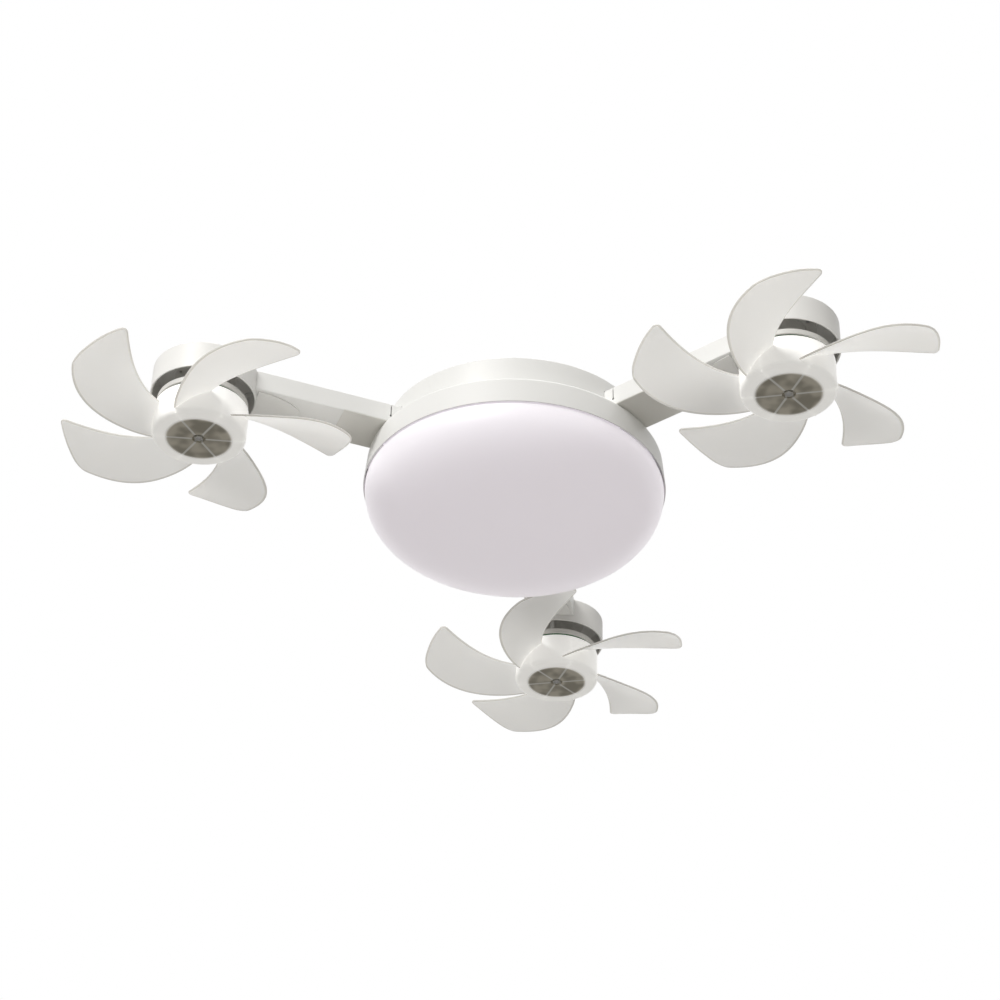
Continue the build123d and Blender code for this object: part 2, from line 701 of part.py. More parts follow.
def spread(start, end, count):
    """Evenly spaced values from start to end."""
    return [start + (end - start) * i / (count - 1) for i in range(count)]


def blade_outline():
    """Outline of a blade as seen from below: hollow edge, outer edge and full edge."""
    hollow = [hollow_edge(a) for a in (-ROOT_SINK, 0.25, 0.5, 0.75, 1)]
    full = [full_edge(a) for a in (1, 0.8, 0.6, 0.4, 0.2, -ROOT_SINK)]
    bulge = polar((TIP_R + HEEL_R) / 2 + OUTER_BULGE, HEEL_ANGLE / 2, 0)
    outer = [hollow[-1], bulge, full[0]]
    sides = [[Vector(p.X, p.Y, 0) for p in side] for side in (hollow, outer, full)]
    curves = [Spline(*side) for side in sides]
    return make_face([*curves, Line(sides[2][-1], sides[0][0])]), sides[1][0], sides[1][-1]


def blade():
    """A twisted sheet, wider than the blade, cut to the outline that is seen from below."""
    rows = spread(-SHEET_PAST_ROOT, 1 + SHEET_PAST_TIP, SHEET_ROWS)
    columns = spread(-SHEET_PAST_SIDES, 1 + SHEET_PAST_SIDES, SHEET_COLUMNS)
    middle = Face.make_surface_from_array_of_points([[blade_point(a, b) for b in columns] for a in rows])
    sheet = thicken(middle, BLADE_T / 2, both=True)
    outline, tip, heel = blade_outline()
    prism = extrude(Pos(0, 0, HUB_Z) * outline, HUB_H + BLADE_T)
    for corner, radius in ((tip, TIP_ROUND), (heel, HEEL_ROUND)):
        near = Vector(corner.X, corner.Y, HUB_Z)
        prism = fillet(prism.edges().filter_by(Axis.Z).sort_by_distance(near)[0], radius)
    return (sheet & prism) - disc(HUB_R - HUB_WALL / 2, HUB_H + BLADE_T, HUB_Z)


def hub():
    """Drum with a rounded floor, nut pocket, boss, floor ribs and wall fins."""
    drum = disc(HUB_R, HUB_H, HUB_Z)
    drum = fillet(drum.edges().sort_by(Axis.Z)[0], HUB_EDGE)
    cavity = disc(HUB_BORE, HUB_H - HUB_FLOOR, HUB_Z + HUB_FLOOR)
    cavity = fillet(cavity.edges().sort_by(Axis.Z)[0], HUB_EDGE - HUB_WALL)
    drum = drum - cavity + disc(HUB_BOSS_R, BELL_Z - HUB_Z, HUB_Z)
    rib_z = HUB_Z + HUB_FLOOR / 2
    boss_x = HUB_BOSS_R - HUB_WALL / 2
    wall_x = HUB_BORE + HUB_WALL / 2
    fin_x = HUB_BORE - FIN_DEPTH
    rib = block(wall_x - boss_x, RIB_T, RIB_H + HUB_FLOOR / 2, boss_x, rib_z)
    rib += block(wall_x - fin_x, RIB_T, HUB_TOP - FIN_FROM_TOP - rib_z, fin_x, rib_z)
    for one in copies(rib, HUB_RIBS, RIB_TURN):
        drum += one
    drum -= disc(NUT_POCKET_R, NUT_TOP - HUB_Z, HUB_Z)
    return drum - disc(THREAD_R + PRESS, HUB_WEB, NUT_TOP)


def impeller():
    """Hub and blades as one moulding, with a blade tip on +X."""
    moulding = hub()
    for one in copies(blade(), BLADES):
        moulding += one
    return moulding


# Motor leads


def motor_lead():
    """Cable from the drive board, up beside the column and along the arm to the controller."""
    end = CONTROL_APOTHEM - HEAD_OUT
    path = FilletPolyline(
        (-LEAD_OUT, 0, BOARD_TOP), (-LEAD_OUT, 0, ARM_MID), (end, 0, ARM_MID), radius=LEAD_BEND
    )
    section = Plane(origin=path @ 0, z_dir=path % 0) * Circle(LEAD_R)
    lead = sweep(section, path)
    print("motor lead volume", round(lead.volume, 1), "cubic mm, length", round(path.length, 1), "mm")
    return lead


os.makedirs("parts", exist_ok=True)

save("ceiling_bracket", ceiling_bracket())
save("canopy", canopy())
save("canopy_screws", *canopy_screws())
save("shell_screws", *shell_screws())
save("lower_shell", lower_shell())
save("diffuser", diffuser())
save("led_plate", led_plate())
save("led_chips", *led_chips())
save("led_screws", *led_screws())
save("led_driver", led_driver())
save("fan_controller", fan_controller())
save("terminal_block", terminal_block())
save("arm_screws", *arm_screws())
save("cup_screws", *cup_screws())
save("base_screws", *base_screws())

HEAD_PIECES = {
    "head_cup": head_cup(),
    "motor_base": motor_base(),
    "stator": stator(),
    "motor_board": motor_board(),
    "rotor_bell": rotor_bell(),
    "magnets": magnets(),
    "shaft": shaft(),
    "hub_nut": hub_nut(),
    "motor_lead": motor_lead(),
}
ARM_PIECES = {"arm": arm(), "arm_cover": arm_cover()}
HEAD_SETS = {"windings": windings(), "bearings": bearings()}
MOULDING = impeller()

for number, (arm_angle, tip_angle) in enumerate(zip(ARM_ANGLES, TIP_ANGLES), start=1):
    for name, piece in ARM_PIECES.items():
        save(f"{name}_{number}", turned(piece, arm_angle))
    for name, piece in HEAD_PIECES.items():
        save(f"{name}_{number}", at_head(piece, arm_angle))
    for name, pieces in HEAD_SETS.items():
        save(f"{name}_{number}", *[at_head(piece, arm_angle) for piece in pieces])
    save(f"impeller_{number}", at_head(turned(MOULDING, tip_angle - arm_angle), arm_angle))
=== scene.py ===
# %% [markdown]
# # A three-head ceiling fan with a light
#
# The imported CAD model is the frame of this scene. It says where every piece is and what it turns
# with. The visible pieces are made again here as smooth surfaces, because a CAD mesh shows flat
# facets when it is lit. The hidden pieces keep their CAD shape and only get a finish.

# %% Load the frame
import json
import math

import bpy
import numpy as np
from mathutils import Matrix, Vector

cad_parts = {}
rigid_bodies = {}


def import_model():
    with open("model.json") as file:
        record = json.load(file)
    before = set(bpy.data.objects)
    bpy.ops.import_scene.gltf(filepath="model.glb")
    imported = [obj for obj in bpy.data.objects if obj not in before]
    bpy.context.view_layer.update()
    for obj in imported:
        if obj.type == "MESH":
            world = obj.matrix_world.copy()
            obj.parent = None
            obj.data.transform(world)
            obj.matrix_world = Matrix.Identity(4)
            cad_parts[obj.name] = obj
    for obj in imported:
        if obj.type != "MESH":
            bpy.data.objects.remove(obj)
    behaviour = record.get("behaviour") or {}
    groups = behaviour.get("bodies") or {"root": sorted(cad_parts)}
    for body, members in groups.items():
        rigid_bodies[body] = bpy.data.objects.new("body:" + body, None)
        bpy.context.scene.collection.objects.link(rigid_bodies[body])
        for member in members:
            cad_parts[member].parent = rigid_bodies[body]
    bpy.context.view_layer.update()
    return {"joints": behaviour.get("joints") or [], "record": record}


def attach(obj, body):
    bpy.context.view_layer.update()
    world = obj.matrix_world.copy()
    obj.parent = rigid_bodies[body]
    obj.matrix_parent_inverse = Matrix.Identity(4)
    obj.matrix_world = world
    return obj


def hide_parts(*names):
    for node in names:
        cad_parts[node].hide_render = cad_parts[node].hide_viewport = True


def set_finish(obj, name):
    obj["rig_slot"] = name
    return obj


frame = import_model()

# %% [markdown]
# ## The camera
#
# The photograph looks up at the fan from below, with a long lens. The place and the directions of
# the camera were solved from the blade tips, the rings of the hubs and the rim of the light, so the
# render and the photograph can be laid over each other.

# %% Camera
EYE = Vector((0.30649, -1.92887, -1.45822))
FORWARD = Vector((-0.13395, 0.80530, 0.57754))
RIGHT = Vector((0.98852, 0.14969, 0.02054))
UP = Vector((0.06991, -0.57366, 0.81610))
LENS = 86.4

camera = bpy.data.objects.new("camera", bpy.data.cameras.new("camera"))
bpy.context.scene.collection.objects.link(camera)
bpy.context.scene.camera = camera
camera.data.lens = LENS
axes = Matrix((RIGHT, UP, -FORWARD)).transposed().to_4x4()
camera.matrix_world = Matrix.Translation(EYE) @ axes
print("camera distance:", round(EYE.length, 3), "m")

# %% [markdown]
# ## The sizes
#
# These are the sizes of the real pieces in millimetres, the same as in the CAD source. The places
# of the heads come from the joints of the frame, so the wheels turn about their own axes. The tip
# angles say where one blade of each wheel points in the photograph. Of its five blades, the one is
# named that also puts the six ribs of the hub where the photograph has them.

# %% Sizes in millimetres
MM = 0.001
SPINS = [joint for joint in frame["joints"] if joint["name"].startswith("fan_spin")]
HEAD_OUT = math.hypot(*SPINS[0]["pos_m"][:2]) / MM
ARM_ANGLES = [math.degrees(math.atan2(joint["pos_m"][1], joint["pos_m"][0])) for joint in SPINS]
ARM_ANGLES_ROUND = [round(angle) for angle in ARM_ANGLES]
TIP_ANGLES = (287.5, 183.2, 287.2)
SHEET = 1.0
DECK_Z = -37.5
ARM_TOP = -15.5
SEAM_Z = -67.5
HUB_TOP = -60.5
HUB_Z = -94.5
HUB_R = 45.0
print("heads at", [round(angle) for angle in ARM_ANGLES], "degrees,", round(HEAD_OUT, 1), "mm out")

# %% [markdown]
# ## Surfaces from numbers
#
# Every new piece is a grid of points. A closed grid can be a turned surface, a bar or a sheet. The
# helpers below join the points into quads, merge the points that meet, and turn the faces outwards
# by the sign of the volume that they enclose.


# %% Quads of a grid
def grid_quads(rows, columns, wrap_rows=False, wrap_columns=False):
    """Each quad joins a point to the next in its row and to the two behind them in the next row."""
    row = np.arange(rows if wrap_rows else rows - 1)[:, None]
    column = np.arange(columns if wrap_columns else columns - 1)[None, :]
    next_row = (row + 1) % rows
    next_column = (column + 1) % columns
    corners = (
        row * columns + column,
        row * columns + next_column,
        next_row * columns + next_column,
        next_row * columns + column,
    )
    return np.stack(corners, axis=-1)


# %% Merge and orient
MERGE = 1e-4


def closed(points, faces):
    """One tidy shape: points that coincide become one, quads that lost a corner become triangles
    (their last corner is -1), and all faces are flipped if the enclosed volume is negative."""
    points = points.reshape(-1, 3)
    faces = faces.reshape(-1, 4)
    _, first, label = np.unique(np.round(points / MERGE), axis=0, return_index=True, return_inverse=True)
    points = points[first]
    faces = label.reshape(-1)[faces]
    repeat = faces == np.roll(faces, 1, axis=1)
    crossed = (faces[:, 0] == faces[:, 2]) | (faces[:, 1] == faces[:, 3])
    quads = faces[(repeat.sum(1) == 0) & ~crossed]
    thin = (repeat.sum(1) == 1) & ~crossed
    triangles = faces[thin][~repeat[thin]].reshape(-1, 3)
    triangles = np.concatenate((triangles, np.full((len(triangles), 1), -1)), axis=1)
    faces = np.concatenate((quads, triangles))
    third = np.where(faces[:, 3] < 0, faces[:, 2], faces[:, 3])
    a, b, c, d = (points[index] for index in (faces[:, 0], faces[:, 1], faces[:, 2], third))
    volume = np.einsum("ij,ij->i", a, np.cross(b, c) + np.cross(c, d)).sum() / 6
    return (points, faces) if volume > 0 else (points, flipped(faces))


def flipped(faces):
    """The same faces seen from the other side; the mark of a triangle stays last."""
    turned_round = faces[:, [0, 3, 2, 1]]
    triangle = faces[:, 3] < 0
    turned_round[triangle] = faces[triangle][:, [0, 2, 1, 3]]
    return turned_round


# %% Outlines with rounded corners
def outline(corners, steps=5):
    """A closed outline. A corner is (a, b, radius), and its arc turns the radius that meets the
    first side into the one that meets the second."""
    made = []
    for i, (a, b, radius) in enumerate(corners):
        here = np.array((a, b), float)
        if radius == 0:
            made.append(here[None])
            continue
        back = np.array(corners[i - 1][:2], float) - here
        on = np.array(corners[(i + 1) % len(corners)][:2], float) - here
        back /= np.linalg.norm(back)
        on /= np.linalg.norm(on)
        half = math.acos(back @ on) / 2
        centre = here + (back + on) / np.linalg.norm(back + on) * radius / math.sin(half)
        start = here + back * radius / math.tan(half) - centre
        end = here + on * radius / math.tan(half) - centre
        sweep = math.pi - 2 * half
        side = (end - start * math.cos(sweep)) / math.sin(sweep)
        turn = np.linspace(0, sweep, steps + 1)[:, None]
        made.append(centre + start * np.cos(turn) + side * np.sin(turn))
    return np.concatenate(made)


# %% Turned pieces, bars and plates
def lathe(profile, steps=180, degrees=None):
    """A turned surface: the point (r, z) of the profile goes to (r cos a, r sin a, z) at every
    angle a. With its own angles given, each may have its own profile."""
    if degrees is None:
        degrees = np.arange(steps) * 360.0 / steps
    turn = np.radians(degrees)[:, None]
    profile = np.broadcast_to(profile, (len(turn),) + np.shape(profile)[-2:])
    radius, height = profile[..., 0], profile[..., 1]
    points = np.stack((radius * np.cos(turn), radius * np.sin(turn), height), axis=-1)
    return closed(points, grid_quads(*points.shape[:2], True, True))


def plate(shape, low, high, along="z"):
    """A flat piece: the outline at the low and at the high level, each closed by a fan of faces to
    its own middle. The level may run along x instead, and the outline then lies in y and z."""
    shape = np.asarray(shape, float)
    middle = np.broadcast_to(shape.mean(0), shape.shape)
    rings = ((middle, low), (shape, low), (shape, high), (middle, high))
    levels = [np.full((len(shape), 1), level) for _, level in rings]
    if along == "z":
        points = np.stack([np.hstack((ring, level)) for (ring, _), level in zip(rings, levels)])
    else:
        points = np.stack([np.hstack((level, ring)) for (ring, _), level in zip(rings, levels)])
    return closed(points, grid_quads(*points.shape[:2], False, True))


def bar(x, y, z):
    """A box from its (low, high) pairs."""
    return plate([(x[0], y[0]), (x[1], y[0]), (x[1], y[1]), (x[0], y[1])], *z)


# %% Moves and copies
def spun(shape, degrees):
    """The shape turned about the vertical axis."""
    turn = math.radians(degrees)
    points, faces = shape
    x, y, z = points.T
    turned = (x * math.cos(turn) - y * math.sin(turn), x * math.sin(turn) + y * math.cos(turn), z)
    return np.stack(turned, 1), faces


def shifted(shape, x=0.0, y=0.0, z=0.0):
    """The shape moved."""
    return shape[0] + np.array((x, y, z)), shape[1]


def copies(shape, count, start=0.0):
    """The shape repeated evenly round the vertical axis."""
    return [spun(shape, start + 360.0 * i / count) for i in range(count)]


# %% Put a piece into the scene
SHARP_FROM = 32
SOFTEN_FROM = 40


def piece(name, shapes, body, slot, stands_for, place=lambda shape: shape,
          values=None, soften=0.0, wall=0.0):
    """Joins the shapes into one object that rides on a body and replaces CAD nodes. The attribute
    made keeps each point's place as drawn, before the piece was put in its place."""
    placed = [place(shape) for shape in shapes]
    starts = np.cumsum([0] + [len(points) for points, _ in placed])
    faces = [np.where(faces < 0, -1, faces + start) for (_, faces), start in zip(placed, starts)]
    faces = np.concatenate(faces)
    points = np.concatenate([points for points, _ in placed]) * MM
    drawn = np.concatenate([points for points, _ in shapes]) * MM
    whole = faces[:, 3] >= 0
    mesh = bpy.data.meshes.new(name)
    mesh.from_pydata(points.tolist(), [], faces[whole].tolist() + faces[~whole][:, :3].tolist())
    made = mesh.attributes.new("made", "FLOAT_VECTOR", "POINT")
    made.data.foreach_set("vector", drawn.astype(np.float32).ravel())
    for key, numbers in (values or {}).items():
        attribute = mesh.attributes.new(key, "FLOAT", "POINT")
        attribute.data.foreach_set("value", numbers.astype(np.float32))
    mesh.polygons.foreach_set("use_smooth", np.ones(len(mesh.polygons), bool))
    mesh.set_sharp_from_angle(angle=math.radians(SHARP_FROM))
    obj = bpy.data.objects.new(name, mesh)
    bpy.context.scene.collection.objects.link(obj)
    if wall:
        thick = obj.modifiers.new("wall", "SOLIDIFY")
        thick.thickness = wall * MM
        thick.offset = -1.0
    if soften:
        edge = obj.modifiers.new("edges", "BEVEL")
        edge.width = soften * MM
        edge.segments = 2
        edge.limit_method = "ANGLE"
        edge.angle_limit = math.radians(SOFTEN_FROM)
    shading = obj.modifiers.new("shading", "WEIGHTED_NORMAL")
    shading.keep_sharp = not soften
    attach(obj, body)
    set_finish(obj, slot)
    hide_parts(*stands_for)
    print(name, "points", len(mesh.vertices), "faces", len(mesh.polygons))


# %% [markdown]
# ## The drum on the ceiling
#
# The drum is drawn from one sheet of steel: a wall, a flat top with a dish for the bracket, and
# three windows for the arms. A turned surface gives it, with one profile for each angle. Where a
# window is, the foot of the wall moves up to the head of the window, and the quads in between
# become the sides of the window.

# %% Drum
CANOPY_R = 133.0
WINDOW_HALF = 25.35
WINDOW_TOP = -14.9
EDGE = 2.0
DISH_R = 66.0
DISH_Z = -7.0
DISH_EDGE = 0.5
CABLE_R = 18.0
WINDOW_STEPS = 9
WALL_STEPS = 54


def drum_profile(foot):
    """Wall, top, dish and back along the inside, with the foot of the wall at this height."""
    inner = CANOPY_R - SHEET
    top = outline([
        (CANOPY_R, WINDOW_TOP, 0), (CANOPY_R, 0, EDGE), (DISH_R, 0, DISH_EDGE), (DISH_R, DISH_Z, 0),
        (CABLE_R, DISH_Z, 0), (CABLE_R, DISH_Z - SHEET, 0), (DISH_R + SHEET, DISH_Z - SHEET, 0),
        (DISH_R + SHEET, -SHEET, 0), (inner, -SHEET, EDGE - SHEET), (inner, WINDOW_TOP, 0),
    ])
    return np.concatenate((top, [(inner, foot), (CANOPY_R, foot)]))


window_turn = math.degrees(math.asin(WINDOW_HALF / CANOPY_R))
next_arm = 360 / len(SPINS)
turns = []
feet = []
for arm_angle in sorted(ARM_ANGLES_ROUND):
    wall_start = arm_angle + window_turn
    turns += list(np.linspace(arm_angle - window_turn, wall_start, WINDOW_STEPS))
    feet += [WINDOW_TOP] * WINDOW_STEPS
    turns += list(np.linspace(wall_start, arm_angle + next_arm - window_turn, WALL_STEPS))
    feet += [DECK_Z] * WALL_STEPS
drum = lathe(np.stack([drum_profile(foot) for foot in feet]), degrees=np.array(turns))
piece("canopy_drum", [drum], "root", "white_paint", ["canopy"])

# %% [markdown]
# ## The rim and the deck
#
# The lower shell is one pressing: a deck that carries the arms, a soft bend, and a rim that flares
# a little towards the light. It carries three ledges for the shade and three pillars for the light
# plate. The pressing is a turned surface, the ledges and pillars are small closed solids on it.

# %% Lower shell
SHELL_R = 151.0
SHELL_TOP_R = 148.3
SHELL_BEND = 3.5
SHEET_EDGE = 0.3
BEND_STEPS = 8
DECK_HOLE_R = 16.0
PILLAR_R = 4.0
PILLAR_STEPS = 24
PILLAR_OUT = 118.0
PILLAR_Z = -62.0
LEDGE_R = 146.8
LEDGE = (-65.5, -64.0)
LUG_SPAN = 16.0
ARC_STEPS = 9

inner_bend = SHELL_BEND - SHEET
under_deck = DECK_Z - SHEET
shell_profile = outline([
    (SHELL_R, SEAM_Z, SHEET_EDGE), (SHELL_TOP_R, DECK_Z, SHELL_BEND), (DECK_HOLE_R, DECK_Z, 0),
    (DECK_HOLE_R, under_deck, 0), (SHELL_TOP_R - SHEET, under_deck, inner_bend),
    (SHELL_R - SHEET, SEAM_Z, SHEET_EDGE),
], steps=BEND_STEPS)


def arc_block(outer, inner, low, high, span):
    """A stretch of a ring: both arcs make one outline, which is made a plate."""
    turn = np.radians(np.linspace(-span / 2, span / 2, ARC_STEPS))
    arc = np.stack((np.cos(turn), np.sin(turn)), 1)
    return plate(np.concatenate((outer * arc, inner * arc[::-1])), low, high)


ledge = arc_block(SHELL_R - SHEET, LEDGE_R, *LEDGE, LUG_SPAN)
pillar_profile = [(0, PILLAR_Z), (PILLAR_R, PILLAR_Z), (PILLAR_R, under_deck), (0, under_deck)]
pillar = shifted(lathe(pillar_profile, PILLAR_STEPS), PILLAR_OUT)
shell_shapes = [lathe(shell_profile)]
shell_shapes += [spun(one, angle) for angle in ARM_ANGLES for one in (ledge, pillar)]
piece("rim_and_deck", shell_shapes, "root", "white_paint", ["lower_shell"])

# %% [markdown]
# ## The opal shade
#
# The shade is a deep dome, fuller than part of a sphere. A quarter superellipse gives that profile:
# the radius is R cos(t)^(2/p) and the drop is D sin(t)^(2/p), with p a little over 2. An inner curve
# one wall thickness further in, a neck and three lugs close it.

# %% Shade
DOME_R = 149.2
DOME_DEPTH = 67.4
DOME_POWER = 2.32
DOME_WALL = 2.2
DOME_Z = -68.5
NECK_R = 146.5
NECK_TOP = -61.2
LUG_R = 148.8
LUG = (-63.7, -61.2)
LIP_ROUND = 0.5
LIP_CHAMFER = 0.15
DOME_STEPS = 44


def dome_curve(radius, depth):
    """Superellipse from the rim (t = 0) down to the axis (t = 90 degrees)."""
    t = np.linspace(0, np.pi / 2, DOME_STEPS)
    across = radius * np.clip(np.cos(t), 0, 1) ** (2 / DOME_POWER)
    drop = depth * np.sin(t) ** (2 / DOME_POWER)
    return np.stack((across, DOME_Z - drop), 1)


outside = dome_curve(DOME_R, DOME_DEPTH)
outside[0] = (DOME_R, DOME_Z - LIP_ROUND)
outside[-1, 0] = 0
inside = dome_curve(DOME_R - DOME_WALL, DOME_DEPTH - DOME_WALL)[::-1]
inside[0, 0] = 0
inside = inside[inside[:, 1] < DOME_Z - DOME_WALL]
neck_bore = NECK_R - DOME_WALL
neck = [(neck_bore, DOME_Z - DOME_WALL), (neck_bore, NECK_TOP), (NECK_R, NECK_TOP), (NECK_R, DOME_Z)]
lip = [(DOME_R - LIP_ROUND, DOME_Z), (DOME_R - LIP_CHAMFER, DOME_Z - LIP_CHAMFER)]
shade_profile = np.concatenate((lip, outside, inside, neck))
lug = arc_block(LUG_R, NECK_R - DOME_WALL / 2, *LUG, LUG_SPAN)
shade_shapes = [lathe(shade_profile)] + [spun(lug, angle) for angle in ARM_ANGLES]
piece("opal_shade", shade_shapes, "diffuser", "opal_diffuser", ["diffuser"])

# %% [markdown]
# ## The arms
#
# An arm is a flat box tube. Its skin is a grid: a rounded outline of the section, carried along the
# arm, with the last stretch pulled back to the round wall of the cup. The opening for the wires and
# the thin slit with its drilled end are quads that are left out. Solidify gives the wall.

# %% Arms
ARM_W = 49.5
ARM_WALL = 2.0
ARM_EDGE = 1.2
ARM_START = 78.0
COVER = (100.0, 189.0)
CUP_R = 51.0
PLAY = 0.1
SLIT_OUT = 141.0
SLIT_END_Z = -29.5
SLIT_R = 1.3
BEFORE_SLIT = 120.0
AFTER_SLIT = 165.0
FLAT_STEPS = 8
CORNER_STEPS = 5
ARM_SOFTEN = 0.35
half_w = ARM_W / 2
flat_half = half_w - ARM_EDGE
low_level = DECK_Z + ARM_EDGE
top_level = ARM_TOP - ARM_EDGE
ring_half = SLIT_R * math.tan(math.pi / 8)
slit_steps = np.array((-SLIT_R, -ring_half, ring_half, SLIT_R))


def arm_section():
    """Outline of the section, from the middle of the underside round and back. The sides have
    points at the levels of the slit's drilled end, and the flats enough points to follow the cup."""
    flat = np.linspace(0, flat_half, FLAT_STEPS)
    turn = np.linspace(0, np.pi / 2, CORNER_STEPS)[1:-1]
    sine = ARM_EDGE * np.sin(turn)
    cosine = ARM_EDGE * np.cos(turn)
    low_arc = np.stack((flat_half + sine, low_level - cosine), 1)
    top_arc = np.stack((flat_half + cosine, top_level + sine), 1)
    levels = np.concatenate(([low_level], SLIT_END_Z + slit_steps, [top_level]))
    right = np.concatenate((
        np.stack((flat, np.full_like(flat, DECK_Z)), 1), low_arc,
        np.stack((np.full_like(levels, half_w), levels), 1), top_arc,
        np.stack((flat[::-1], np.full_like(flat, ARM_TOP)), 1),
    ))
    return np.concatenate((right, right[-2:0:-1] * (-1, 1)))


def arm_skin():
    """The skin of one arm along +X as points and faces, open at both ends and at the cover."""
    section = arm_section()
    stations = np.concatenate((
        [ARM_START, COVER[0], BEFORE_SLIT], SLIT_OUT + slit_steps, [AFTER_SLIT, COVER[1], 0.0],
    ))
    x = np.broadcast_to(stations[:, None], (len(stations), len(section))).copy()
    x[-1] = HEAD_OUT - np.sqrt((CUP_R + PLAY) ** 2 - section[:, 0] ** 2)
    y = np.broadcast_to(section[:, 0], x.shape)
    z = np.broadcast_to(section[:, 1], x.shape)
    points = np.stack((x, y, z), -1).reshape(-1, 3)
    quads = grid_quads(*x.shape, False, True)
    middle = points[quads].mean(2)
    in_cover = (middle[..., 0] > COVER[0]) & (middle[..., 0] < COVER[1])
    keep = ~(in_cover & (middle[..., 2] < low_level))
    across = np.abs(middle[..., 0] - SLIT_OUT)
    on_side = np.abs(middle[..., 1]) > flat_half
    level = middle[..., 2] - SLIT_END_Z
    slit = (across < ring_half) & (level > -SLIT_R) & (middle[..., 2] < ARM_TOP)
    drilled = (across < SLIT_R) & (np.abs(level) < ring_half)
    keep &= ~(on_side & (slit | drilled))
    beside = (across > ring_half) & (across < SLIT_R)
    above_or_below = (np.abs(level) > ring_half) & (np.abs(level) < SLIT_R)
    corner = on_side & beside & above_or_below
    for i, j in zip(*np.nonzero(corner)):
        offset = points[quads[i, j]] - (SLIT_OUT, 0, SLIT_END_Z)
        inner = np.abs(offset[:, [0, 2]]).sum(1).argmin()
        quads[i, j, inner] = quads[i, j, inner - 1]
    return closed(points, quads[keep])


for number, angle in enumerate(ARM_ANGLES, start=1):
    piece(
        f"arm_tube_{number}", [arm_skin()], "root", "white_paint", [f"arm_{number}"],
        place=lambda shape: spun(shape, angle), soften=ARM_SOFTEN, wall=ARM_WALL,
    )

# %% [markdown]
# ## The covers under the arms
#
# A clip-in cover closes the wiring opening. It takes over the rounded lower edges of the arm, so
# only the fine joint round it shows. Two ribs hold it inside the walls.

# %% Arm covers
COVER_RIB_T = 1.5
COVER_RIB_H = 5.0
cover_top = DECK_Z + ARM_WALL - PLAY
cover_outline = outline([
    (-half_w, DECK_Z, ARM_EDGE), (half_w, DECK_Z, ARM_EDGE),
    (half_w, cover_top, 0), (-half_w, cover_top, 0),
])
cover_span = (COVER[0] + PLAY, COVER[1] - PLAY)
rib_side = half_w - ARM_WALL - PLAY
cover_shapes = [plate(cover_outline, *cover_span, along="x")]
for side in (-1, 1):
    across = sorted((side * rib_side, side * (rib_side - COVER_RIB_T)))
    cover_shapes.append(bar(cover_span, across, (cover_top, cover_top + COVER_RIB_H)))
for number, angle in enumerate(ARM_ANGLES, start=1):
    piece(
        f"wiring_cover_{number}", cover_shapes, "root", "cover_plastic", [f"arm_cover_{number}"],
        place=lambda shape: spun(shape, angle), soften=ARM_SOFTEN,
    )


# %% [markdown]
# ## The cups and motor bases
#
# Everything on a head is drawn about the axis of its own motor, with the arm towards -X, and then
# taken to the end of its arm. The cup is a turned surface with a softly rounded roof and a small
# chamfer in its mouth. A half-round tongue laps under the arm, and a tang goes into it.

# %% Cups
CUP_Z = -45.5
CUP_WALL = 2.0
TONGUE_OUT = 96.0
TONGUE_W = 44.0
TONGUE_T = 1.5
TANG_L = 30.0
TANG_W = 45.3
TANG_WALL = 2.5
TANG = (-35.4, -17.6)
MOUTH = 0.8
CUP_EDGE = 0.3
CUP_ROUND = 2.5
CUP_INNER_ROUND = 1.0
CUP_STEPS = 144
TONGUE_STEPS = 40


def at_head(shape, angle):
    """A shape drawn about its own motor axis, taken to the end of the arm at this angle."""
    return spun(shifted(shape, HEAD_OUT), angle)


bore = CUP_R - CUP_WALL
cup_profile = outline([
    (CUP_R, CUP_Z, CUP_EDGE), (CUP_R, ARM_TOP, CUP_ROUND), (0, ARM_TOP, 0), (0, ARM_TOP - CUP_WALL, 0),
    (bore, ARM_TOP - CUP_WALL, CUP_INNER_ROUND), (bore, CUP_Z + MOUTH, 0), (bore + MOUTH, CUP_Z, 0),
])
turn = np.linspace(np.pi / 2, 3 * np.pi / 2, TONGUE_STEPS)
tongue = np.stack(((TONGUE_OUT - bore) * np.cos(turn) - bore, TONGUE_W / 2 * np.sin(turn)), 1)
tang_half = TANG_W / 2
tang_x = (-CUP_R - TANG_L, -bore - CUP_WALL / 2)
tang_low = (TANG[0], TANG[0] + TANG_WALL)
tang_high = (TANG[1] - TANG_WALL, TANG[1])
tang_shapes = [bar(tang_x, (-tang_half, tang_half), z) for z in (tang_low, tang_high)]
for side_y in ((-tang_half, TANG_WALL - tang_half), (tang_half - TANG_WALL, tang_half)):
    tang_shapes.append(bar(tang_x, side_y, (tang_low[1], tang_high[0])))
for number, angle in enumerate(ARM_ANGLES, start=1):
    shapes = [lathe(cup_profile, CUP_STEPS), plate(tongue, DECK_Z - TONGUE_T, DECK_Z)] + tang_shapes
    piece(
        f"cup_{number}", shapes, "root", "cup_paint", [f"head_cup_{number}"],
        place=lambda shape: at_head(shape, angle), soften=CUP_EDGE,
    )

